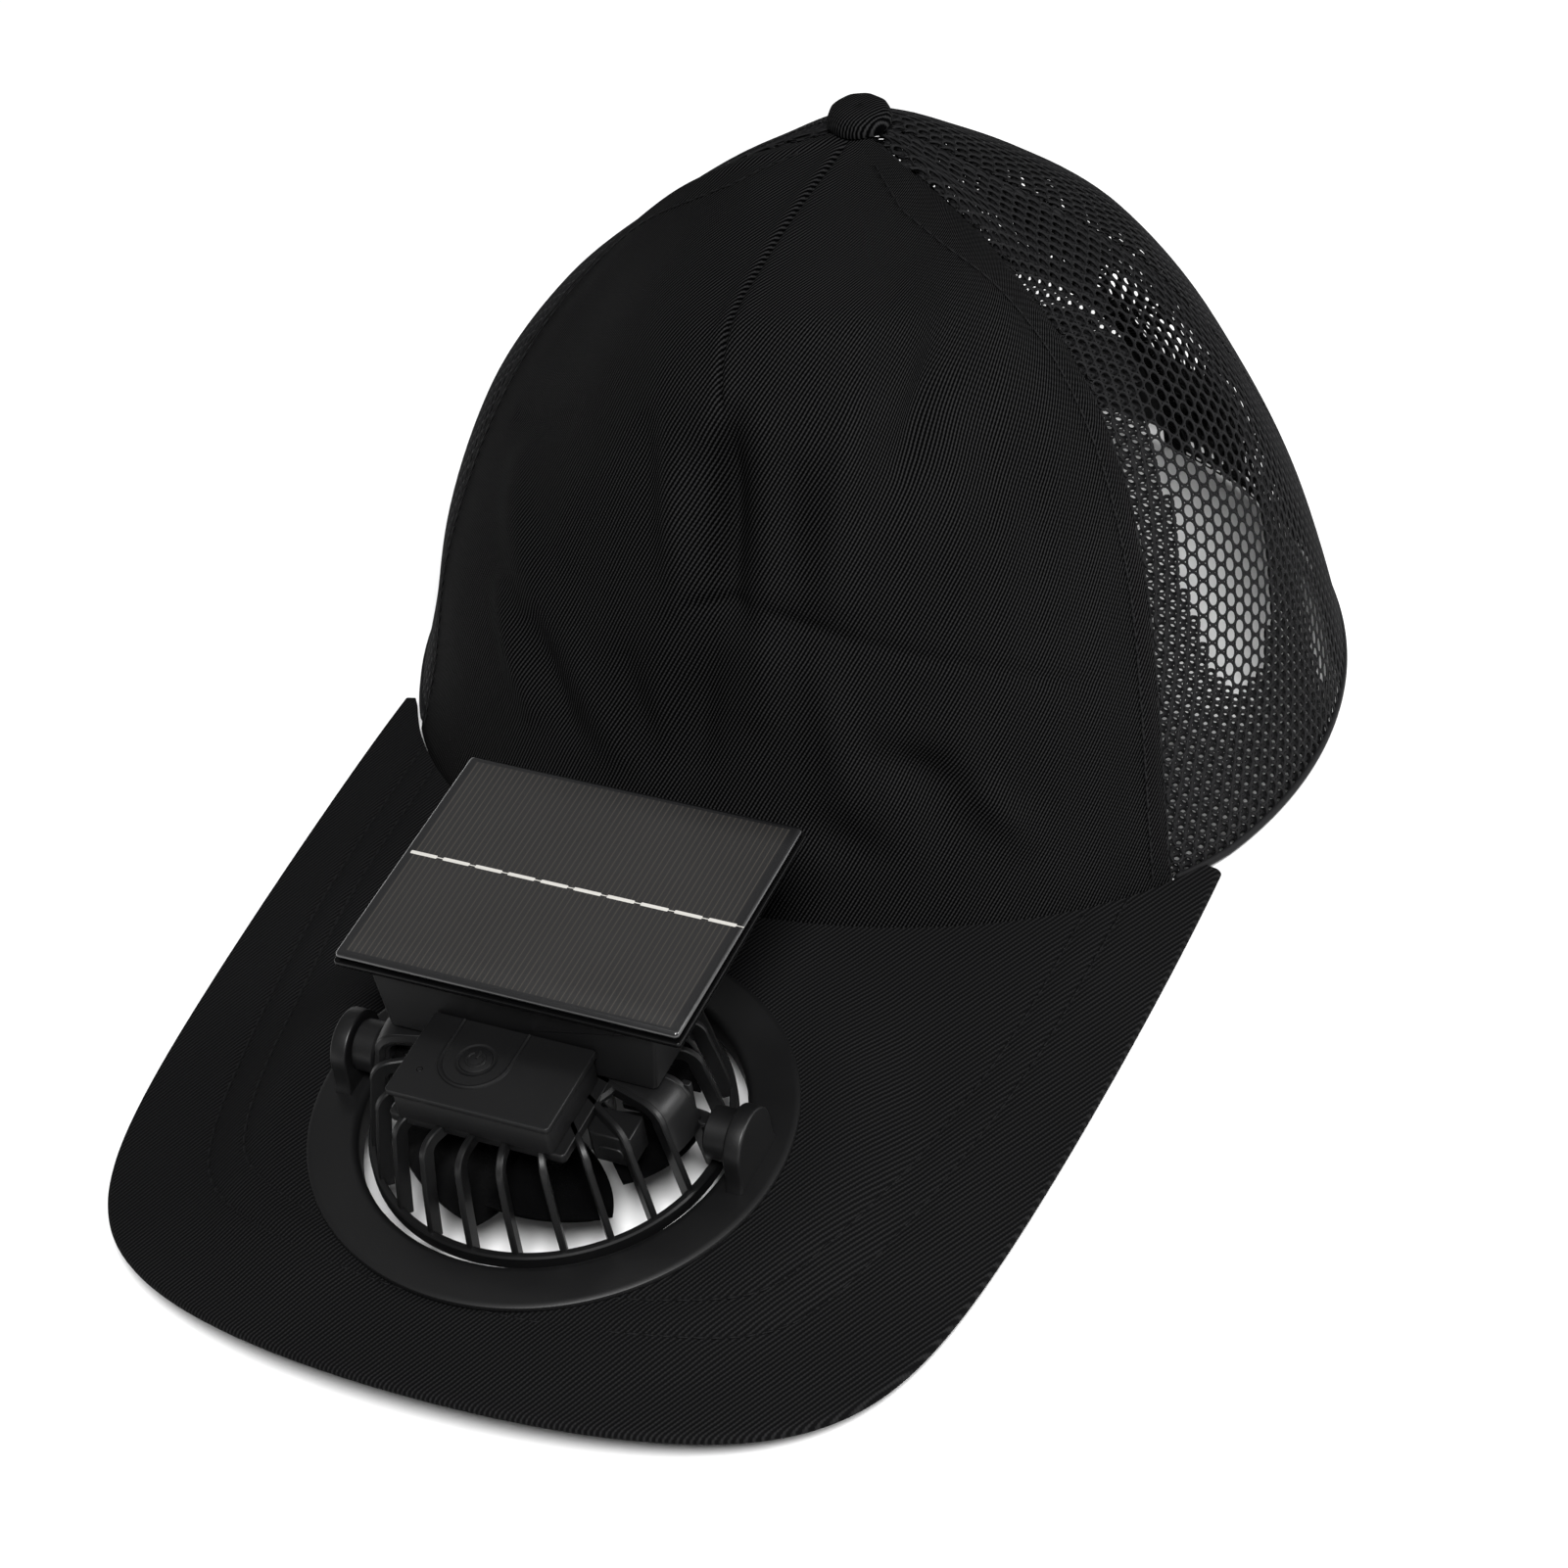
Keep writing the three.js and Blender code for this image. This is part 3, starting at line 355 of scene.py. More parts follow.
def make_piece(name, parts, finish, body, replaces=(), sharp=None, uv=None):
    """Puts the parts into one mesh in metres, merges doubled points and turns its faces outwards."""
    points = np.concatenate([part[0] for part in parts])
    starts = np.cumsum([0] + [len(part[0]) for part in parts[:-1]])
    faces = [(np.asarray(face) + start).tolist() for part, start in zip(parts, starts) for face in part[1]]
    mesh = bpy.data.meshes.new(name)
    mesh.from_pydata((points * MM + [0, FAN_Y, 0]).tolist(), [], faces)
    if uv is not None:
        layer = mesh.uv_layers.new(name="Cloth")
        corner = np.empty(len(mesh.loops), np.int32)
        mesh.loops.foreach_get("vertex_index", corner)
        layer.data.foreach_set("uv", np.asarray(uv, np.float32)[corner].reshape(-1))
    work = bmesh.new()
    work.from_mesh(mesh)
    bmesh.ops.remove_doubles(work, verts=work.verts, dist=1e-6)
    bmesh.ops.dissolve_degenerate(work, edges=work.edges, dist=1e-7)
    bmesh.ops.recalc_face_normals(work, faces=work.faces)
    work.to_mesh(mesh)
    work.free()
    mesh.shade_smooth()
    if sharp is not None:
        mesh.set_sharp_from_angle(angle=math.radians(sharp))
    piece = bpy.data.objects.new(name, mesh)
    bpy.context.scene.collection.objects.link(piece)
    mesh.materials.append(finish)
    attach(piece, body)
    if replaces:
        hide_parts(*replaces)


# Finishes

class Shade:
    """A shader socket. Arithmetic on it adds Math nodes."""

    def __init__(self, tree, socket=None):
        self.tree, self.socket = tree, socket

    def node(self, kind, settings, values, output=0):
        """Adds one node: its settings first, then the values or links of its sockets."""
        made = self.tree.nodes.new(kind)
        for name, value in settings.items():
            setattr(made, name, value)
        for key, value in values.items():
            if isinstance(value, Shade):
                self.tree.links.new(value.socket, made.inputs[key])
            else:
                made.inputs[key].default_value = value
        return Shade(self.tree, made.outputs[output])

    def math(self, operation, *values):
        """A Math node on sockets or plain numbers."""
        return self.node("ShaderNodeMath", {"operation": operation}, dict(enumerate(values)))

    def __add__(self, other):
        return self.math("ADD", self, other)

    def __sub__(self, other):
        return self.math("SUBTRACT", self, other)

    def __rsub__(self, other):
        return self.math("SUBTRACT", other, self)

    def __mul__(self, other):
        return self.math("MULTIPLY", self, other)

    def __truediv__(self, other):
        return self.math("DIVIDE", self, other)

    __radd__ = __add__
    __rmul__ = __mul__

    def coordinates(self, kind):
        """Places on the surface: Object, or UV where the pattern follows the cloth."""
        return self.node("ShaderNodeTexCoord", {}, {}, kind)

    def noise(self, where, scale, detail=2.0):
        """Soft noise from 0 to 1, with scale lumps to the metre."""
        return self.node("ShaderNodeTexNoise", {}, {"Vector": where, "Scale": scale, "Detail": detail})

    def clamped(self, value):
        """A value kept between 0 and 1."""
        return self.node("ShaderNodeClamp", {}, {0: value})

    def axes(self, where):
        """The three numbers of a place."""
        split = self.tree.nodes.new("ShaderNodeSeparateXYZ")
        self.tree.links.new(where.socket, split.inputs[0])
        return [Shade(self.tree, output) for output in split.outputs]

    def mixed(self, share, dark, light):
        """A colour between two, by share."""
        dark, light = [c if isinstance(c, Shade) else (*c, 1) for c in (dark, light)]
        return self.node("ShaderNodeMix", {"data_type": "RGBA"}, {0: share, 6: dark, 7: light}, 2)


def finish_of(name, paint, **constants):
    """A Principled material: paint returns the sockets that vary, the others are plain values."""
    material = bpy.data.materials.new(name)
    material.use_nodes = True
    tree = material.node_tree
    shader = tree.nodes["Principled BSDF"]
    for key, value in constants.items():
        shader.inputs[key.replace("_", " ")].default_value = value
    for key, value in paint(Shade(tree)).items():
        tree.links.new(value.socket, shader.inputs[key])
    return material


def bumped(start, height, distance, strength=1.0):
    """A Bump node: height is in shares of distance."""
    return start.node("ShaderNodeBump", {}, {"Height": height, "Distance": distance, "Strength": strength})


def twill_paint(angle, pitch, depth, dark, light):
    """Slanting ribs as a sine of the way across them, broken into yarns by a sine along them. Noise
    makes both sway, and adds lint and broad blotches."""
    def paint(start):
        cloth = start.coordinates("UV")
        u, v, _ = start.axes(cloth)
        sway = start.noise(cloth, 260.0)
        along = u * math.cos(angle) + v * math.sin(angle)
        across = v * math.cos(angle) - u * math.sin(angle)
        rib = start.math("SINE", across * (2 * math.pi / pitch) + sway * 1.6)
        yarn = start.math("SINE", along * (2 * math.pi / YARN_PITCH) + rib * 0.8 + sway * 3.0)
        lint = start.noise(cloth, 2400.0, 3.0)
        blotch = start.noise(cloth, 22.0, 3.0)
        height = rib * 0.38 + yarn * 0.08 + lint * 0.3 + 0.35
        share = start.clamped(rib * 0.68 + yarn * 0.16 + lint * 0.45 + blotch * 0.4 - 0.2)
        return {
            "Base Color": start.mixed(share, dark, light),
            "Roughness": 0.72 + lint * 0.2,
            "Normal": bumped(start, height, depth),
        }
    return paint


def thread_paint(dark, light, scale):
    """Fine speckle that stands for twisted thread."""
    def paint(start):
        place = start.coordinates("Object")
        twist = start.noise(place, scale, 3.0)
        broad = start.noise(place, 30.0)
        share = start.clamped(twist * 0.8 + broad * 0.4 - 0.2)
        return {
            "Base Color": start.mixed(share, dark, light),
            "Roughness": 0.55 + twist * 0.3,
            "Normal": bumped(start, twist, 0.0001, 0.7),
        }
    return paint


def plastic_paint(dark, light, grain, rough):
    """Moulded plastic: fine grain, and wear that is a little smoother in patches."""
    def paint(start):
        place = start.coordinates("Object")
        fine = start.noise(place, grain, 3.0)
        broad = start.noise(place, 45.0, 3.0)
        share = start.clamped(broad * 0.8 + fine * 0.3)
        return {
            "Base Color": start.mixed(share, dark, light),
            "Roughness": rough - 0.08 + broad * 0.12 + fine * 0.05,
            "Normal": bumped(start, fine, 0.00003, 0.5),
        }
    return paint


def cell_paint(start):
    """Dark cell with fine lines parallel to its side edges, under clear resin whose surface falls off
    as the square of the way past 21.6 mm from the middle."""
    place = start.coordinates("Object")
    x, y, _ = start.axes(place)
    line = start.math("PINGPONG", x + CELL_LINE_HALF_PITCH, CELL_LINE_HALF_PITCH) / CELL_LINE_HALF_PITCH
    thin = start.clamped((line - 0.76) * 5.0)
    cloud = start.noise(place, 60.0, 3.0)
    flakes = start.noise(place, 900.0)
    base = start.mixed(cloud * 0.8 + flakes * 0.2, (0.006, 0.0058, 0.0058), (0.012, 0.0116, 0.0116))
    from_middle = start.math("ABSOLUTE", y - PANEL_MIDDLE_Y * MM - FAN_Y)
    slope = start.math("MAXIMUM", from_middle - 0.0216, 0.0)
    inside_x = start.math("LESS_THAN", start.math("ABSOLUTE", x), CELL_HALF_WIDTH)
    inside = inside_x * start.math("LESS_THAN", from_middle, CELL_HALF_LENGTH)
    lined = start.mixed(thin * inside * 0.8, base, (0.050, 0.043, 0.036))
    return {
        "Base Color": start.mixed(inside, (0.002, 0.002, 0.0025), lined),
        "Roughness": 0.32 + cloud * 0.08,
        "Normal": bumped(start, cloud * 0.015 - slope * slope * 16000.0, 0.001),
    }


FRONT_TWILL = twill_paint(math.radians(63), 0.00071, 0.0003,
                          (0.0001, 0.0001, 0.0002), (0.0205, 0.0205, 0.0209))
VISOR_TWILL = twill_paint(math.radians(65), 0.00082, 0.00018,
                          (0.0030, 0.0030, 0.0032), (0.0130, 0.0130, 0.0133))
THREAD = thread_paint((0.0008, 0.0008, 0.001), (0.004, 0.004, 0.0045), 4000.0)
NET_THREAD = thread_paint((0.0015, 0.0015, 0.0018), (0.008, 0.008, 0.0088), 2600.0)
WEBBING = thread_paint((0.005, 0.005, 0.0055), (0.016, 0.016, 0.017), 1800.0)
SATIN = plastic_paint((0.0016, 0.0016, 0.0018), (0.0036, 0.0036, 0.0038), 2600.0, 0.44)
GLOSS = plastic_paint((0.0008, 0.0008, 0.0009), (0.002, 0.002, 0.0021), 1400.0, 0.25)
SILVER_PASTE = plastic_paint((0.6, 0.58, 0.54), (0.8, 0.78, 0.74), 3000.0, 0.35)
PLATED_CAN = plastic_paint((0.18, 0.18, 0.19), (0.32, 0.32, 0.33), 1500.0, 0.38)
PALE_PAPER = plastic_paint((0.86, 0.86, 0.86), (0.9, 0.9, 0.9), 60.0, 0.8)

twill_front = finish_of("front_twill", FRONT_TWILL, Specular_IOR_Level=0.02)
twill_visor = finish_of("visor_twill", VISOR_TWILL, Specular_IOR_Level=0.02)
thread = finish_of("sewing_thread", THREAD, Specular_IOR_Level=0.15)
net_thread = finish_of("net_thread", NET_THREAD, Specular_IOR_Level=0.18)
webbing = finish_of("strap_webbing", WEBBING, Specular_IOR_Level=0.18)
satin = finish_of("satin_plastic", SATIN, Specular_IOR_Level=0.36)
gloss = finish_of("gloss_plastic", GLOSS, Specular_IOR_Level=0.16)
cell_finish = finish_of("solar_cell", cell_paint, Specular_IOR_Level=0.5, Coat_Weight=1.0,
                        Coat_Roughness=0.12)
busbar_finish = finish_of("cell_busbar", SILVER_PASTE, Metallic=0.4)
motor_finish = finish_of("motor_can", PLATED_CAN, Metallic=0.9)
paper_finish = finish_of("floor_paper", PALE_PAPER, Specular_IOR_Level=0.1)


# Crown

def seam_share(t):
    """Half the gap between two panels, as a turn."""
    return HALF_SEAM_GAP / (RIM_HALF_LENGTH * along_levels(OUT_SHARES["side"], t))


def front_panel():
    """The front of the crown between its side seams, with the dart: a groove between two low lips that
    follows the middle down from the button and dies out. Columns lie closest at the middle, and the
    cloth's pattern follows the lengths round and up the panel."""
    t = 1 - (1 - np.linspace(0, 1, 176)) ** 1.05
    even = np.linspace(-1, 1, 261)[:, None]
    a = even * (0.4 + 0.6 * even * even)
    turn = a * (along_levels(SEAM_TURNS, t) - seam_share(t))
    t = np.broadcast_to(t, turn.shape)
    plain = plain_crown(turn, t)
    middle = len(even) // 2
    round_steps = np.linalg.norm(np.diff(plain, axis=0), axis=-1)
    around = np.concatenate([np.zeros((1, t.shape[1])), np.cumsum(round_steps, 0)])
    around = around - around[middle]
    upward = np.broadcast_to(run_along(plain[middle]), turn.shape)
    dart_levels = [0.60, 0.65, 0.70, 0.79, 0.86, 0.98, 1]
    dart_x = np.interp(t[0], dart_levels, [3.6, 2.6, 1.3, -0.2, -0.6, -0.2, 0.0])
    off = around - dart_x
    strength = smooth_step((t - 0.61) / 0.05) * smooth_step((1.0 - t) / 0.03)
    dart = -0.8 * bell(off / 0.4) + 0.3 * bell((off + 1.5) / 1.3) + 0.15 * bell((off - 1.8) / 1.2)
    seam = 0.5 * bell((np.abs(around) - around[-1][None] + 2.0) / 1.6)
    lift = dart * strength + crease_relief(turn, t) + seam * smooth_step(t / 0.1)
    top, bottom = crown(turn, t, lift), crown(turn, t, lift - FRONT_WALL)
    uv = np.stack([around, upward], -1).reshape(-1, 2) * MM
    make_piece("crown_front_cloth", [sheet_part(top, bottom)], twill_front, "cap",
               ["crown_front"], sharp=50, uv=np.concatenate([uv, uv]))


def stitches_on(turn, t, pitch, length, radius, raise_by):
    """Threads at an even pitch along a line on the crown."""
    line = crown(turn, t, raise_by)
    run = run_along(line)
    marks = np.arange(pitch / 2, run[-1], pitch)
    centres, ahead = points_at(marks, run, line), points_at(marks + 0.5, run, line)
    normal = crown_normal(np.interp(marks, run, turn), np.interp(marks, run, t))
    return bead_parts(centres, ahead - centres, normal, length, radius)


def crown_stitching():
    """A row of stitches 4.2 mm inside each side seam of the front panel."""
    parts = []
    t = np.linspace(0.02, 0.95, 300)
    inset = 4.2 / (RIM_HALF_LENGTH * np.maximum(0.12, along_levels(OUT_SHARES["side"], t)))
    for side in (-1, 1):
        turn = side * (along_levels(SEAM_TURNS, t) - inset)
        parts.append(stitches_on(turn, t, pitch=2.9, length=2.3, radius=0.28, raise_by=0.35))
    make_piece("front_topstitching", parts, thread, "cap")


def net_limits(name, t):
    """The turns at which a net panel starts and ends."""
    if name == "side":
        return along_levels(SEAM_TURNS, t) + seam_share(t), NET_SEAM_TURN - seam_share(t)
    return NET_SEAM_TURN + seam_share(t), math.pi - seam_share(t)


def arch_foot(turn):
    """The level of the rear arch's edge, half an ellipse."""
    across = np.clip((math.pi - np.abs(turn)) / ARCH_HALF_TURN, 0, 1)
    return ARCH_LEVEL * np.sqrt(1 - across * across)


def net_cells(name, side, lift, second=False):
    """Knitted net as hexagonal cells. Each cell is a lens-shaped rim round an oval hole, and where
    three cells meet their cut corners leave a small triangular hole. A cell's place comes from
    its distance round and its distance up the panel, so that the holes keep one size. The second
    layer is shifted, has smaller holes, and leaves out two oval windows at each side."""
    t = np.linspace(0, 1, 120)
    start, end = net_limits(name, t)
    middle = plain_crown(side * (start + end) / 2, t)
    upward = run_along(middle)
    share = np.linspace(0, 1, 17)[:, None]
    across = plain_crown(side * (start + share * (end - start)), t)
    width = np.linalg.norm(np.diff(across, axis=0), axis=-1).sum(0)
    reach = int(width.max() / NET_PITCH / 2)
    columns = np.arange(-reach - 2, reach + 3)
    rows = np.arange(-1, int(upward[-1] / NET_RISE) + 2)
    row, column = np.meshgrid(rows, columns, indexing="ij")
    shift_x, shift_y = (0.5, 0.33) if second else (0.0, 0.0)
    cell_x = (column + 0.5 * (row % 2) + shift_x).reshape(-1) * NET_PITCH
    cell_y = (row + shift_y).reshape(-1) * NET_RISE
    angle = np.arange(12) * math.pi / 6 + math.pi / 12
    hole = np.stack([0.36 * NET_PITCH * np.cos(angle), 0.445 * NET_RISE * np.sin(angle)], -1)
    if second:
        hole *= 0.72
    corner = np.arange(6) * math.pi / 3 + math.pi / 6
    corner_x, corner_y = np.cos(corner) * NET_PITCH / math.sqrt(3), np.sin(corner) * NET_RISE * 2 / 3
    hexagon = np.stack([corner_x, corner_y], -1)
    cut = 0.27  # of each side of the hexagon, at both of its ends
    before = hexagon * (1 - cut) + np.roll(hexagon, 1, 0) * cut
    after = hexagon * (1 - cut) + np.roll(hexagon, -1, 0) * cut
    rim = np.stack([before, after], 1).reshape(12, 2)
    keep = (cell_y > 0) & (cell_y < upward[-1] - 1.5)
    level = np.interp(cell_y, upward, t)
    half = np.interp(level, t, width) / 2
    keep &= np.abs(cell_x) < half
    if second and name == "side":
        window = np.hypot((cell_x + half - 27) / 17, (level - 0.41) / 0.22)
        low_window = np.hypot((cell_x + half - 62) / 8, (level - 0.14) / 0.09)
        keep &= (window > 1) & (low_window > 1)
    if name == "back":
        low, high = net_limits(name, level)
        turn = low + (cell_x / half / 2 + 0.5) * (high - low)
        keep &= level > arch_foot(turn)
    cell_x, cell_y = cell_x[keep], cell_y[keep]

    def on_crown(shape, rise_by):
        """One outline of every cell, laid on the panel and kept inside its limits."""
        x = cell_x[:, None] + shape[None, :, 0]
        y = np.clip(cell_y[:, None] + shape[None, :, 1], 0, upward[-1])
        place = np.interp(y, upward, t)
        room = np.interp(place, t, width) / 2
        low, high = net_limits(name, place)
        turn = low + np.clip(x / room / 2 + 0.5, 0, 1) * (high - low)
        if name == "back":
            place = np.maximum(place, arch_foot(turn))
        return crown(side * turn, place, rise_by)

    half_wall = 0.26  # of the net, at the outside of each cell's rim
    rings = [on_crown(hole, lift), on_crown(rim, lift + half_wall), on_crown(rim, lift - half_wall)]
    points = np.stack(rings, 1)
    base = np.arange(12)
    follow = (base + 1) % 12
    top = np.stack([base, follow, follow + 12, base + 12], -1)
    under = np.stack([base + 24, follow + 24, follow, base], -1)
    gaps = base[::2]
    walls = np.stack([gaps + 12, gaps + 13, gaps + 25, gaps + 24], -1)
    one = np.concatenate([top, under, walls])
    faces = (one[None] + (np.arange(len(cell_x)) * 36)[:, None, None]).reshape(-1, 4)
    return points.reshape(-1, 3), faces


def net_panels():
    """Four net panels, each of two layers of net."""
    for name in ("side", "back"):
        for side, word in ((-1, "left"), (1, "right")):
            layers = [net_cells(name, side, -0.5), net_cells(name, side, -1.3, second=True)]
            make_piece(f"net_{name}_{word}_mesh", layers, net_thread, "cap", [f"net_{name}_{word}"])


def net_seams():
    """Rolled seam allowances behind the net's seams, and the turned lower edge."""
    parts = []
    t = np.linspace(0.0, 0.985, 160)
    wobble = 0.12 * np.sin(t * 260)
    upwards = (0.01, 0.02, 1)
    for side in (-1, 1):
        for turn, radius in ((along_levels(SEAM_TURNS, t), 1.1), (np.full(t.shape, NET_SEAM_TURN), 1.2)):
            line = crown(side * turn, t, -1.35 + wobble)
            parts.append(tube_part(line, radius, 8, 0.6, upwards))
        edge = np.linspace(MERIDIAN_TURNS["seam"] + 0.02, math.pi - ARCH_HALF_TURN, 160)
        rim = crown(side * edge, np.full(edge.shape, 0.006), -0.55)
        parts.append(tube_part(rim + [0, 0, 0.35], 0.62, 8, 1.6, upwards))
    t = np.linspace(ARCH_LEVEL + 0.01, 0.985, 120)
    back = crown(np.full(t.shape, math.pi), t, -1.3)
    parts.append(tube_part(back, 1.2, 8, 0.6, upwards))
    make_piece("net_seams", parts, net_thread, "cap")


def arch_band():
    """The folded cloth edge of the rear arch: a band 5.6 mm wide that follows half an ellipse, with
    edges rounded by the fourth power of the way across."""
    height = CROWN_HEIGHT * float(along_levels(UP_SHARES["back"], np.array(ARCH_LEVEL)))
    size = np.linspace(1 - 6 / height, 1 - 0.4 / height, 13)
    sweep = np.linspace(-math.pi / 2, math.pi / 2, 121)[:, None]
    turn = math.pi - ARCH_HALF_TURN * size * np.sin(sweep)
    t = np.maximum(0, ARCH_LEVEL * size * np.cos(sweep))
    round_off = 0.35 * (1 - np.linspace(-1, 1, 13) ** 4)
    top, bottom = crown(turn, t, 0.05 + round_off), crown(turn, t, -1.25 - round_off)
    run = np.broadcast_to(sweep * 45, turn.shape)
    uv = np.stack([run, np.broadcast_to(size * height, turn.shape)], -1).reshape(-1, 2) * MM
    make_piece("arch_band", [sheet_part(top, bottom)], twill_front, "cap", ["arch_binding"],
               sharp=50, uv=np.concatenate([uv, uv]))


def button():
    """The cloth button: a low dome with a drawn-in foot, and faint gathers round it."""
    radius = np.array([0.02, 1.7, 1.75, 4.6, 6.2, 6.5, 6.4, 5.9, 5.0, 3.7, 2.0, 0.02])
    height = np.array([-1.4, -1.4, 0.5, 0.35, 0.4, 1.0, 2.0, 3.2, 4.0, 4.45, 4.65, 4.7])
    angle = np.arange(96)[:, None] * 2 * math.pi / 96
    gather = 1 + 0.012 * np.sin(angle * 9) * (height > 1) * (height < 6)
    x, y = radius * gather * np.cos(angle), radius * gather * np.sin(angle)
    grid = np.stack([x, BUTTON_Y + y, np.broadcast_to(CROWN_HEIGHT + height, x.shape)], -1)
    part = ring_part(grid)
    cloth_stretch = 1.15
    uv = (part[0][:, :2] - [0, BUTTON_Y]) * MM * cloth_stretch
    make_piece("button_cloth", [part], twill_front, "cap", ["crown_button"], uv=uv)


# Visor

def visor_edge(s):
    """The edge curve for s from 0 at the corner to 1 at the tip, by de Casteljau's rule."""
    corner_y = RIM_CENTRE_Y - RIM_HALF_LENGTH * math.cos(VISOR_CORNER_TURN)
    across = RIM_HALF_WIDTH * math.sin(VISOR_CORNER_TURN) + 3.3
    x, y = VISOR_EDGE[:, 0] * across, corner_y - VISOR_EDGE[:, 1] * (corner_y + VISOR_TIP)
    row = [np.broadcast_to(point, s.shape + (2,)) for point in np.stack([x, y], -1)]
    while len(row) > 1:
        row = [a + (b - a) * s[..., None] for a, b in zip(row, row[1:])]
    return row[0]


def visor_row(side_inset, front_inset):
    """A line inside the visor's edge, whose inset grows smoothly towards the tip."""
    a = np.linspace(-1, 1, 400)
    edge = visor_edge(1 - np.abs(a))
    edge = np.stack([edge[:, 0] * np.sign(a + 1e-12), edge[:, 1]], -1)
    along = unit(np.gradient(edge, axis=0))
    inward = np.stack([-along[:, 1], along[:, 0]], -1)
    inset = side_inset + (front_inset - side_inset) * smooth_step((60 - edge[:, 1]) / 110)
    line = edge + inward * inset[:, None]
    rim_x = line[:, 0] / (RIM_HALF_WIDTH + 0.6)
    rim_y = (line[:, 1] - RIM_CENTRE_Y) / (RIM_HALF_LENGTH + 0.6)
    return line[rim_x ** 2 + rim_y ** 2 > 1]


VISOR_ROWS = [visor_row(13.5, 20.5), visor_row(19.5, 28.0)]


def visor_top(x, y):
    """The height of the visor's upper face, without its furrows."""
    return visor_underside(x, y) + VISOR_THICKNESS


def visor():
    """The visor's two faces over a grid from the rim to its edge. Its edge is rounded, its top sinks a
    little along the stitching, and the quads under the fan's ring are left out."""
    a = np.linspace(-1, 1, 241)[:, None]
    rest = np.concatenate([np.linspace(0, 0.955, 70), [0.97, 0.98, 0.987, 0.992, 0.996, 0.999, 1.0]])
    s = 1 - np.abs(a)
    edge = visor_edge(s[:, 0])[:, None]
    rim_turn = VISOR_CORNER_TURN * (1 - s[:, 0])
    rim_x = (RIM_HALF_WIDTH + 0.3) * np.sin(rim_turn)
    rim_y = RIM_CENTRE_Y - (RIM_HALF_LENGTH + 0.3) * np.cos(rim_turn)
    rim = np.stack([rim_x, rim_y], -1)[:, None]
    plan = rim + (edge - rim) * rest[None, :, None]
    sign = np.where(a < 0, -1, 1)
    x, y = plan[..., 0] * sign, plan[..., 1]
    inset = np.linalg.norm(edge - plan, axis=-1)
    full = np.sqrt(1 - (1 - np.clip(inset / 1.15, 0, 1)) ** 2)
    sink = np.zeros(x.shape)
    for row in VISOR_ROWS:
        gap = np.full(x.size, np.inf)
        for chunk in np.array_split(row, 8):
            far = np.hypot(x.reshape(-1, 1) - chunk[None, :, 0], y.reshape(-1, 1) - chunk[None, :, 1])
            gap = np.minimum(gap, far.min(1))
        sink += bell(gap.reshape(x.shape) / 1.1)
    half = VISOR_THICKNESS / 2
    middle = visor_underside(x, y) + half
    wave = 0.25 * np.sin(x / 9 + y / 31) * bell((inset - 30) / 22)
    top = np.stack([x, y, middle + half * full - 0.28 * sink * full + wave * full], -1)
    bottom = np.stack([x, y, middle - half * full + 0.1 * sink * full], -1)
    from_fan = np.hypot(x, y)
    quad_from_fan = (from_fan[:-1, :-1] + from_fan[1:, 1:]) / 2
    points, faces = sheet_part(top, bottom, quad_from_fan > VISOR_HOLE_RADIUS)
    used = np.unique(faces)
    renumber = np.zeros(len(points), int)
    renumber[used] = np.arange(len(used))
    points = points[used]
    make_piece("visor_cloth", [(points, renumber[faces])], twill_visor, "cap", ["visor"],
               sharp=60, uv=points[:, :2] * MM)


def visor_stitching():
    """Two rows of stitches round the visor, sunk in their furrows."""
    parts = []
    for row in VISOR_ROWS:
        run = run_along(row)
        marks = np.arange(1.5, run[-1] - 1, 3.0)
        ends = []
        for place in (marks, marks + 0.5):
            x, y = points_at(place, run, row).T
            ends.append(np.stack([x, y, visor_top(x, y) - 0.12], -1))
        upright = np.broadcast_to([0.0, 0.0, 1.0], ends[0].shape)
        parts.append(bead_parts(ends[0], ends[1] - ends[0], upright, length=2.2, radius=0.3))
    make_piece("visor_topstitching", parts, thread, "cap")


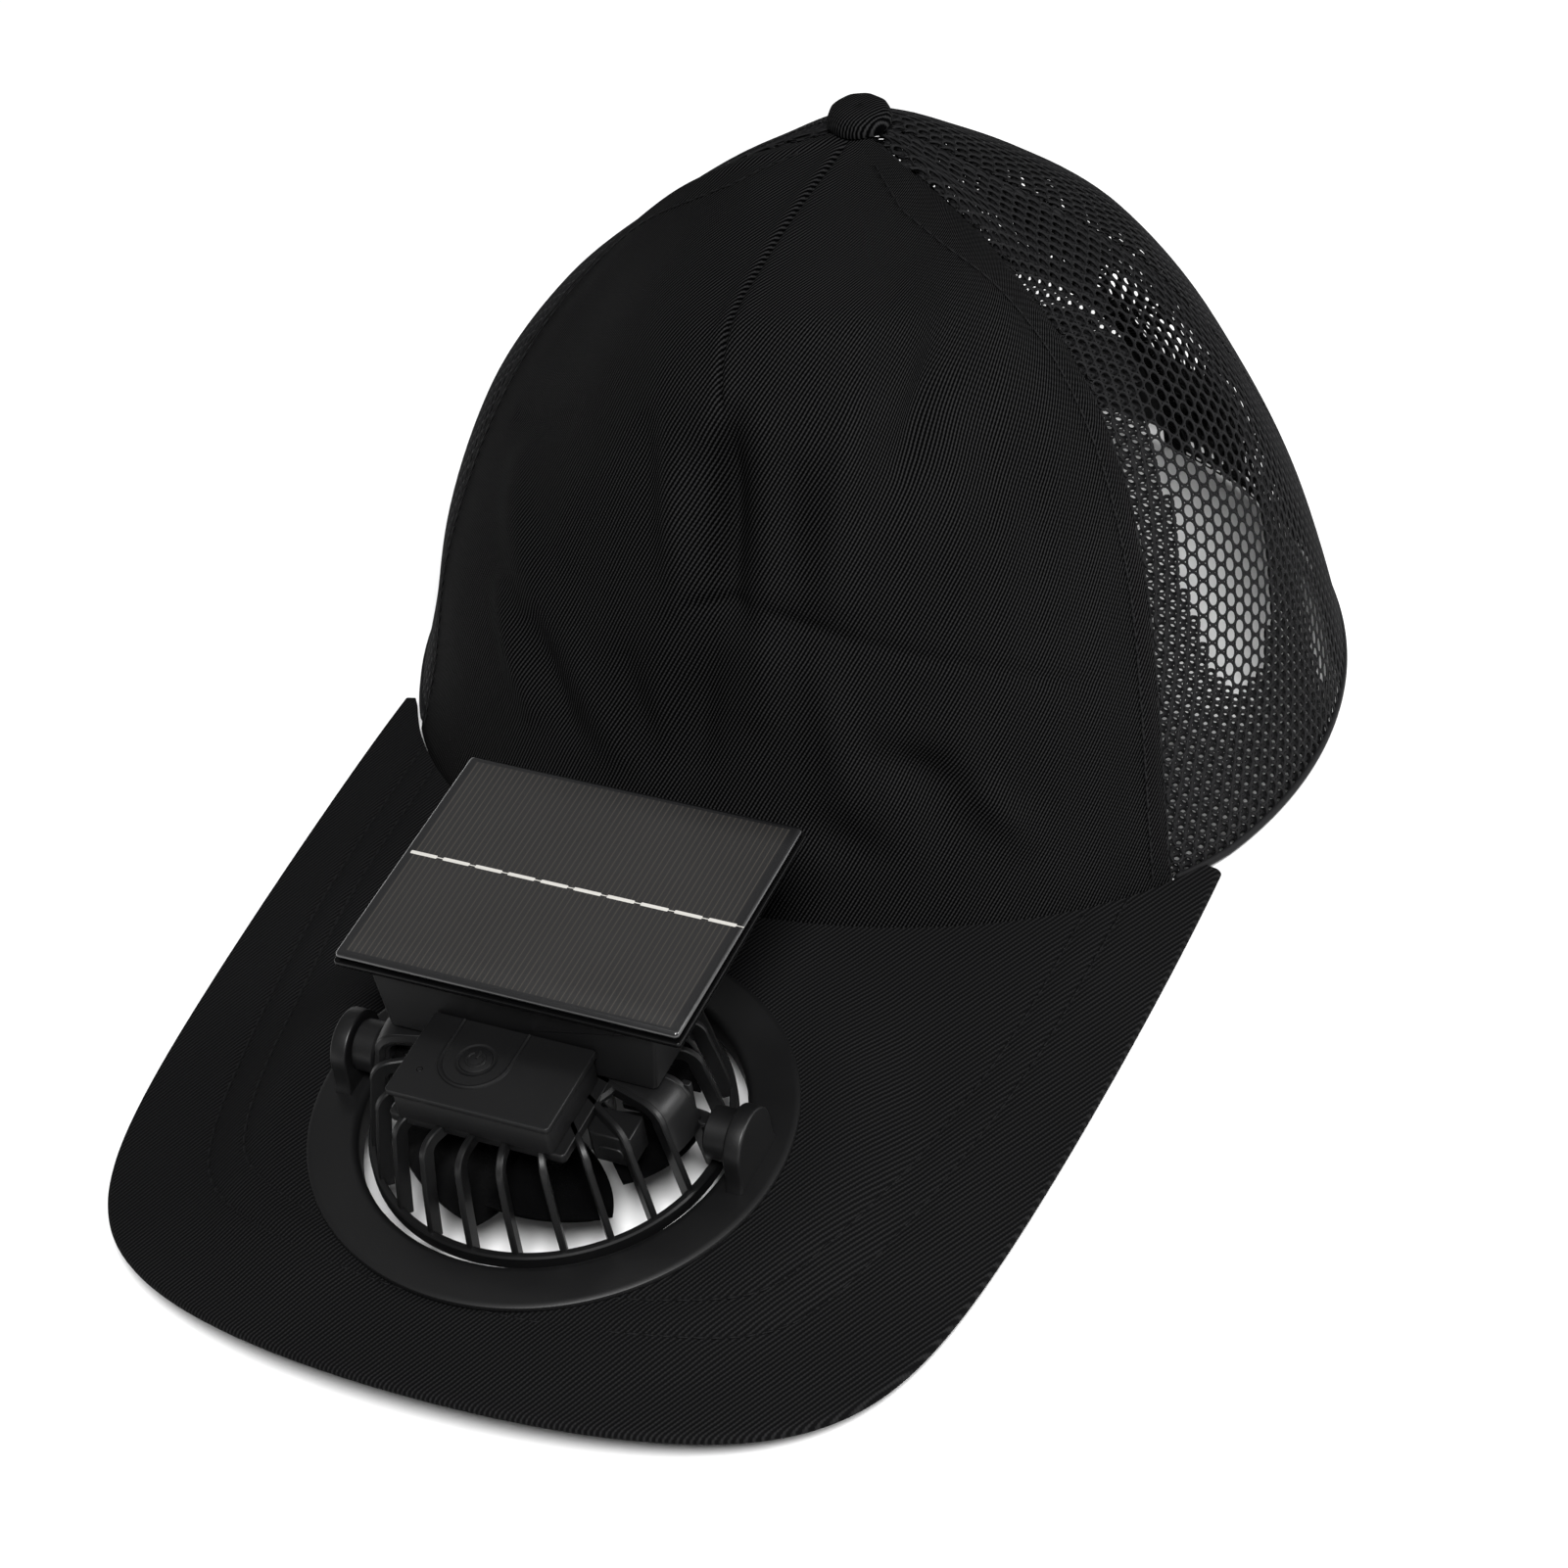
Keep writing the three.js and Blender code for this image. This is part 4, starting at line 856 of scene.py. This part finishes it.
def strap_and_buckle():
    """The strap across the rear arch, a flat band round the outside of the rim, and its slide."""
    turn = math.pi + np.linspace(-0.58, 0.58, 81)[:, None]
    turn, t = np.broadcast_arrays(turn, np.linspace(0.0165, 0.158, 15))
    rib = 0.12 * np.sin(np.linspace(0, 9 * math.pi, 15)) ** 2
    band = sheet_part(crown(turn, t, 2.0 + rib), crown(turn, t, 0.8))
    make_piece("rear_strap_webbing", [band], webbing, "cap", ["rear_strap"], sharp=50)

    low, high = [np.array(corner) / MM - [0, FAN_Y / MM, 0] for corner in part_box("strap_buckle")]
    (x0, y0, z0), (x1, y1, z1) = low, high
    bar = 3.0
    outer_line = rounded_outline(x0, x1, z0, z1, 1.6, 5)
    inner_line = rounded_outline(x0 + bar, x1 - bar, 1.7, z1 - bar, 0.7, 5)
    y = y1 - 1.5 + np.array([0, 0.35, 1.0, 1.35])
    shrink = np.array([0.3, 0, 0, 0.3]) / 12
    centre = np.array([(x0 + x1) / 2, (z0 + z1) / 2])
    rings = []
    for line, order, way in ((outer_line, (0, 1, 2, 3), -1), (inner_line, (3, 2, 1, 0), 1)):
        for k in order:
            scaled = centre + (line - centre) * (1 + way * shrink[k])
            rings.append(np.stack([scaled[:, 0], np.full(len(scaled), y[k]), scaled[:, 1]], -1))
    parts = [ring_part(np.stack(rings, 1).transpose(1, 0, 2))]
    post = rounded_outline(-1.5, 1.5, z0 + 0.6, z1 - 0.6, 0.6, 4)
    parts.append(slab_part(post, y0, y0 + 1.4, 0.3, (0, 2, 1)))
    for z in (z0 + 0.75, z1 - 0.95):
        rail = rounded_outline(-13, 13, z - 0.7, z + 0.7, 0.4, 4)
        parts.append(slab_part(rail, y0 + 0.2, y1 - 0.3, 0.2, (0, 2, 1)))
    make_piece("buckle_frame", parts, gloss, "cap", ["strap_buckle"], sharp=40)


# Fan ring

def fan_ring():
    """The turned ring with a softly rounded outer edge and an inner lip, and its two upright ears."""
    top = RING_TOP
    profile = [
        (36.4, 9.5), (36.6, 9.4), (37.6, 9.4), (37.8, 9.5), (37.8, 13.9), (46.1, 13.9),
        (46.3, 14.0), (46.3, 14.35), (46.15, 14.75), (45.7, 15.02), (45.1, top), (38.2, top),
        (37.6, top - 0.05), (37.0, top - 0.3), (36.55, top - 0.8), (36.4, top - 1.4),
    ]
    parts = [lathe_part(profile, 192)]
    angle = np.linspace(0, math.pi, 25)
    arch = np.stack([6.9 * np.cos(angle), top + 6.0 + 6.9 * np.sin(angle)], -1)
    flare = np.array([(7.9, top - 0.4), (7.6, top + 0.4), (7.2, top + 1.4),
                      (7.0, top + 2.8), (6.9, top + 4.4)])
    outline = np.concatenate([flare, arch, (flare * [-1, 1])[::-1]])
    for side in (-1, 1):
        inner, outer = sorted([side * 38.9, side * 42.3])
        parts.append(slab_part(outline, inner, outer, 0.45, (1, 2, 0)))
    make_piece("fan_ring", parts, satin, "cap", ["flange_ring"], sharp=32)


def ring_clamp():
    """The hidden ring under the visor, turned about the fan's axis."""
    profile = [(38.1, 9.5), (38.3, 9.4), (44.5, 9.4), (44.8, 9.7),
               (44.8, 10.8), (44.6, 11.0), (38.3, 11.0), (38.1, 10.8)]
    make_piece("ring_clamp", [lathe_part(profile, 160)], satin, "cap",
               ["retaining_ring"], sharp=32)


# Fan head

def fin_line(below_plate, ends):
    """The fins' outer line as radius and height: along the plate, round a quarter circle and down to
    the ends, with the directions that point into the cage."""
    bend = np.linspace(0, math.pi / 2, 9)
    height = PLATE_HEIGHT - below_plate
    shoulder = np.stack([SHOULDER_RADIUS - SHOULDER_BEND * (1 - np.sin(bend)),
                         height - SHOULDER_BEND * (1 - np.cos(bend))], -1)
    line = np.concatenate([[(14.0, height), (20.0, height)], shoulder, ends])
    tangent = unit(np.gradient(line, axis=0))
    return line, np.stack([tangent[:, 1], -tangent[:, 0]], -1)


def fin_parts():
    """Fins round the cage. Each is a rounded bar section carried from the top plate over the shoulder
    and down to the cage's ring, turned about the axis as it goes down."""
    line, inward = fin_line(0.0, [(32.6, 8.0), (34.2, -2.2)])
    lean = FIN_LEAN * np.clip((15.1 - line[:, 1]) / 17.3, 0, 1)
    section = np.array([(-0.65, 0.25), (-0.4, 0.0), (0.4, 0.0), (0.65, 0.25),
                        (0.6, 2.6), (0.4, 2.8), (-0.4, 2.8), (-0.6, 2.6)])
    radius = line[:, None, 0] + inward[:, None, 0] * section[None, :, 1]
    height = line[:, None, 1] + inward[:, None, 1] * section[None, :, 1]
    parts = []
    for k in range(FIN_COUNT):
        turn = k * 2 * math.pi / FIN_COUNT - FIN_LEAN + lean[:, None]
        x = radius * np.cos(turn) - section[None, :, 0] * np.sin(turn)
        y = radius * np.sin(turn) + section[None, :, 0] * np.cos(turn)
        parts.append(ring_part(np.stack([x, y, RING_TOP + height], -1), wrap_rows=False))
    return parts


def web_part(side):
    """A solid web beside each arm: the fins' line turned through one fin's spacing. It is 2 mm thick
    and closes at both sides as the fourth root of one less the eighth power of the way across."""
    line, inward = fin_line(0.05, [(31.9, 12), (32.6, 9.0)])
    across = np.linspace(0, 1, 15)[:, None]
    turn = -FIN_LEAN - 2 * math.pi / FIN_COUNT * across
    full = 0.5 * (1 - (2 * across - 1) ** 8)
    walls = []
    for way in (-1, 1):
        depth = 1.0 + way * (full * 2) ** 0.25
        radius = line[:, 0] + inward[:, 0] * depth
        height = line[:, 1] + inward[:, 1] * depth
        walls.append(np.stack([side * radius * np.cos(turn), radius * np.sin(turn), RING_TOP + height], -1))
    return sheet_part(*walls)


def crosswise(profile, sides=48):
    """An outline of place across and radius, turned about the tilt's axis."""
    place, radius = np.array(profile, float).T
    angle = np.arange(sides)[:, None] * 2 * math.pi / sides
    y, z = radius * np.cos(angle), PIVOT_Z + radius * np.sin(angle)
    return ring_part(np.stack([np.broadcast_to(place, y.shape), y, z], -1))


def arm_bar(side, near, far, half_depth, low, high):
    """An upright or level bar of the fan's arms, from near to far on one side of the middle."""
    x0, x1 = sorted([side * near, side * far])
    return slab_part(rounded_outline(x0, x1, -half_depth, half_depth, 0.3, 3), low, high, 0.2)


def fan_cage():
    """The fins, the ring they end in, the top plate and its disc, the socket's block, and the arms, pins
    and bosses that carry the head on the two ears."""
    top = PLATE_TOP
    parts = fin_parts()
    ring = [(33.0, -3.2), (33.2, -3.5), (34.3, -3.5), (34.6, -3.2),
            (34.6, -0.8), (34.3, -0.4), (33.3, -0.4), (33.0, -0.7)]
    parts.append(lathe_part([(r, RING_TOP + z) for r, z in ring], 160))
    parts.append(slab_part(rounded_outline(-17.7, 17.7, -24.1, 30, 0.8), top - 2, top, 0.2))
    disc = [(0.02, top - 2.2), (19.4, top - 2.2), (20.2, top - 1.4),
            (20.2, top - 0.7), (19.6, top - 0.1), (0.02, top - 0.1)]
    parts.append(lathe_part(disc, 96))
    parts += [web_part(-1), web_part(1)]
    port = [(16.9, -13.9), (18.5, -15.5), (25.4, -15.5), (26.0, -14.9),
            (26.0, -9.4), (25.6, -9.0), (16.9, -9.0)]
    parts.append(slab_part(port, top - 9.5, top - 2.5, 0.3))
    socket = rounded_outline(19.4, 24.6, top - 8.0, top - 5.2, 1.3)
    parts.append(slab_part(socket, -15.9, -15.3, 0.25, (0, 2, 1)))
    boss = [(34.0, 0.02), (34.0, 4.6), (34.35, 5.0), (38.35, 5.0), (38.6, 4.8), (38.6, 0.02)]
    pin = [(37, 0.02), (37, 2.2), (40.1, 2.2), (40.3, 2.0), (40.3, 0.02)]
    ridge = [(16.9, 3.3), (24, 3.3), (31, 3.3), (32.6, 3.1), (34.2, 2.2)]
    for side in (-1, 1):
        parts += [crosswise([(side * x, r) for x, r in profile]) for profile in (boss, pin)]
        parts += [arm_bar(side, x, x + 1.8, 0.65, PIVOT_Z + 2.0, top - 1.5) for x in (29.4, 17.0)]
        parts.append(arm_bar(side, 16.8, 35, 1.5, PIVOT_Z + 1.9, PIVOT_Z + 3.2))
        for y in (-1.2, 1.2):
            line = np.array([(side * x, y, PIVOT_Z + z) for x, z in ridge])
            parts.append(tube_part(line, 0.35, 6))
    make_piece("cage_and_arms", parts, satin, "fan_head", ["fan_cage"], sharp=35)


def control_box():
    """The box with its thin lid, the raised outline round the power button and a pinhole."""
    foot, top = PLATE_TOP + 0.1, BOX_TOP
    parts = [
        slab_part(rounded_outline(-15.7, 15.7, -24.6, -5.3, 0.8, 4), foot, top - 1.0, 0.2),
        slab_part(rounded_outline(-16.4, 16.4, -25.3, -5.3, 0.7, 5), top - 1.4, top, 0.18),
    ]
    sweep = np.linspace(-math.pi, 0, 25)
    reach = 6.6
    bend = np.stack([BUTTON_X + reach * np.cos(sweep), BUTTON_FROM_FAN + reach * np.sin(sweep)], -1)
    left, right = BUTTON_X - reach, BUTTON_X + reach
    line = np.concatenate([[(left, -5.6), (left, -10)], bend, [(right, -10), (right, -5.6)]])
    line = np.concatenate([line, np.full((len(line), 1), top)], -1)
    parts.append(tube_part(line, 0.5, 8, 0.8))
    pocket = [(0.02, top - 3.4), (3.5, top - 3.4), (3.5, top + 0.02), (3.9, top + 0.12),
              (3.9, top - 0.4), (3.7, top - 3.6), (0.02, top - 3.6)]
    parts.append(lathe_part(pocket, 64, (BUTTON_X, BUTTON_FROM_FAN)))
    make_piece("control_box_shell", parts, satin, "fan_head", ["control_box"], sharp=32)
    dot = [(0.02, top - 0.05), (0.32, top - 0.05), (0.5, top + 0.03),
           (0.62, top + 0.01), (0.62, top - 0.2), (0.02, top - 0.2)]
    make_piece("lamp_pinhole", [lathe_part(dot, 32, (-12.4, -19))], gloss, "fan_head")


def power_button():
    """The round button with a power sign: an open ring and an upright bar."""
    top = BOX_TOP + 0.3
    cap = [(0.02, top - 2.6), (3.2, top - 2.6), (3.2, top - 0.35), (3.05, top - 0.1), (2.8, top), (0.02, top)]
    parts = [lathe_part(cap, 64, (BUTTON_X, BUTTON_FROM_FAN))]
    sweep = np.linspace(math.radians(125), math.radians(415), 40)
    ring = np.stack([BUTTON_X + 1.7 * np.cos(sweep), BUTTON_FROM_FAN + 1.7 * np.sin(sweep),
                     np.full(sweep.shape, top)], -1)
    bar = np.array([(BUTTON_X, BUTTON_FROM_FAN + along, top) for along in (0.1, 1.0, 2.0)])
    parts += [tube_part(ring, 0.3, 8, 0.7), tube_part(bar, 0.3, 8, 0.7)]
    make_piece("power_button_cap", parts, satin, "button", ["power_button"], sharp=35)


def battery_housing():
    """The case under the panel: one outline seen from the front, run from front to rear."""
    low, high = RING_TOP + 20.1, RING_TOP + 35.0
    outline = [(-27, low), (26.4, low), (27.2, low + 0.6), (29, high - 0.6),
               (29, high), (-29, high), (-28.9, high - 0.6), (-27.4, low + 0.6)]
    case = slab_part(outline, -5, 38, 0.6, (0, 2, 1))
    make_piece("battery_case", [case], satin, "fan_head", ["battery_housing"], sharp=32)


def solar_panel():
    """The backing tray, the cell under resin whose upper edge is rounded over, and the light conductor
    across its middle: ten dashes, each joined to the next by a thin bridge."""
    base = PANEL_BASE
    tray = slab_part(rounded_outline(-35, 35, -6.9, 49.1, 0.8, 5), base, base + 1.2, 0.25)
    make_piece("panel_tray", [tray], gloss, "fan_head", ["solar_backing"], sharp=32)
    low = base + 1.5
    resin = slab_part(rounded_outline(-34.6, 34.6, -6.5, 48.7, 0.9, 5), low, low + 1.5, 0.7)
    make_piece("cell_under_resin", [resin], cell_finish, "fan_head", ["solar_cell"], sharp=50)
    face, parts = low + 1.5, []
    for x in -30.6 + 6.8 * np.arange(10):
        dash = rounded_outline(x - 2.75, x + 2.75, PANEL_MIDDLE_Y, PANEL_MIDDLE_Y + 0.8, 0.15, 3)
        bridge = rounded_outline(x + 2.5, x + 4.3, PANEL_MIDDLE_Y + 0.3, PANEL_MIDDLE_Y + 0.5, 0.05, 3)
        parts.append(slab_part(dash, face - 0.04, face + 0.03, 0.02))
        parts.append(slab_part(bridge, face - 0.04, face + 0.02, 0.02))
    make_piece("cell_busbar", parts, busbar_finish, "fan_head")


def motor():
    """The motor's can, turned about the fan's axis."""
    top = RING_TOP + 17.5
    can = [(0.02, top - 9.5), (2.2, top - 9.5), (2.4, top - 9.4), (11.2, top - 9.4), (12.1, top - 9.0),
           (12.5, top - 8.2), (12.5, top - 0.3), (12.2, top), (0.02, top)]
    make_piece("motor_shell", [lathe_part(can, 96)], motor_finish, "fan_head", ["motor"],
               sharp=35)


def rotor():
    """The hub, and seven blades. A blade turns with its height and, by a quarter as much, outwards. It
    thins towards its tip, and towards its edges as the fourth power of the way to them."""
    top = RING_TOP + 7.7
    hub = [(0.02, top - 9.5), (10.3, top - 9.5), (11.4, top - 9.1),
           (12.0, top - 8.1), (12.0, top), (0.02, top)]
    parts = [lathe_part(hub, 96)]
    out = np.linspace(0, 1, 14)[:, None]
    up = np.linspace(-0.5, 0.5, 11)
    radius = 11.5 + 17.4 * out
    twist = (up * (1 - 0.1 * out ** 3) + 0.25 * out) * BLADE_SWEEP
    height = top - 4.75 + up * (8.0 - 1.2 * out ** 4)
    half = 0.6 * (1 - 0.4 * out) * (1 - 0.7 * (2 * up) ** 4)
    for k in range(BLADE_COUNT):
        turn = k * 2 * math.pi / BLADE_COUNT - twist
        x, y = radius * np.cos(turn), radius * np.sin(turn)
        parts.append(sheet_part(np.stack([x, y, height + half], -1), np.stack([x, y, height - half], -1)))
    make_piece("rotor_blades", parts, gloss, "rotor", ["rotor"], sharp=40)


# Stage, light and camera

def held(name, data, axes, place):
    """An object whose own axes point the given ways, put at a place and into the scene."""
    holder = bpy.data.objects.new(name, data)
    rows = [[*row, at] for row, at in zip(np.stack(axes, -1), place)]
    holder.matrix_world = Matrix(rows + [[0, 0, 0, 1]])
    bpy.context.scene.collection.objects.link(holder)
    return holder


def area_light(name, place, aim, size, power):
    """A round lamp in metres and watts, turned to face its aim."""
    lamp = bpy.data.lights.new(name, "AREA")
    lamp.shape, lamp.size, lamp.energy = "DISK", size, power
    z = unit(np.array(place, float) - np.array(aim, float))
    x = unit(np.cross([0.0, 0.0, 1.0], z) + [1e-6, 0, 0])
    held(name, lamp, [x, np.cross(z, x), z], place)


def studio():
    """White paper just under the hat, a faint even light, and three lamps. The mirrored one is what the
    panel's glossy face shows."""
    side = np.linspace(-4, 4, 9)
    x, y = np.meshgrid(side, side, indexing="ij")
    points = np.stack([x, y, np.full(x.shape, -0.0006)], -1).reshape(-1, 3)
    floor_mesh = bpy.data.meshes.new("floor")
    floor_mesh.from_pydata(points.tolist(), [], grid_faces(len(side), len(side)).tolist())
    floor_mesh.materials.append(paper_finish)
    floor = bpy.data.objects.new("floor", floor_mesh)
    bpy.context.scene.collection.objects.link(floor)
    world = bpy.context.scene.world or bpy.data.worlds.new("studio")
    bpy.context.scene.world = world
    world.use_nodes = True
    backdrop = world.node_tree.nodes["Background"]
    backdrop.inputs["Color"].default_value = (1, 1, 1, 1)
    backdrop.inputs["Strength"].default_value = 0.2
    area_light("key", (0.6, -0.9, 1.6), (0, 0, 0.05), 0.55, 52)
    area_light("right", (1.5, 0.4, 0.75), (0, 0.05, 0.06), 0.6, 17)
    area_light("mirrored", (-0.57, 0.71, 1.6), (0, -0.07, 0.05), 0.32, 0.6)
    bpy.context.scene.view_settings.view_transform = "Standard"


def camera():
    """The photograph's view: from 30 degrees to the side and 42 degrees up, rolled by 9 degrees. Its
    focal length is 4000 of the photograph's 1601 pixels."""
    azimuth, elevation, roll = [math.radians(v) for v in (30.01, 42.10, -9.19)]
    right = np.array([math.cos(azimuth), math.sin(azimuth), 0])
    up = np.array([-math.sin(azimuth) * math.sin(elevation), math.cos(azimuth) * math.sin(elevation),
                   math.cos(elevation)])
    x_axis = math.cos(roll) * right + math.sin(roll) * up
    y_axis = math.cos(roll) * up - math.sin(roll) * right
    data = bpy.data.cameras.new("camera")
    data.sensor_width, data.lens = 36.0, 4000 / 1601 * 36
    data.clip_start, data.clip_end = 0.02, 30
    place = [0.2964, -0.4090 + FAN_Y, 0.5259 + RING_TOP * MM]
    bpy.context.scene.camera = held("camera", data, [x_axis, y_axis, np.cross(right, up)], place)


camera()
studio()
front_panel()
crown_stitching()
net_panels()
net_seams()
arch_band()
button()
visor()
visor_stitching()
strap_and_buckle()
fan_ring()
ring_clamp()
fan_cage()
control_box()
power_button()
battery_housing()
solar_panel()
motor()
rotor()
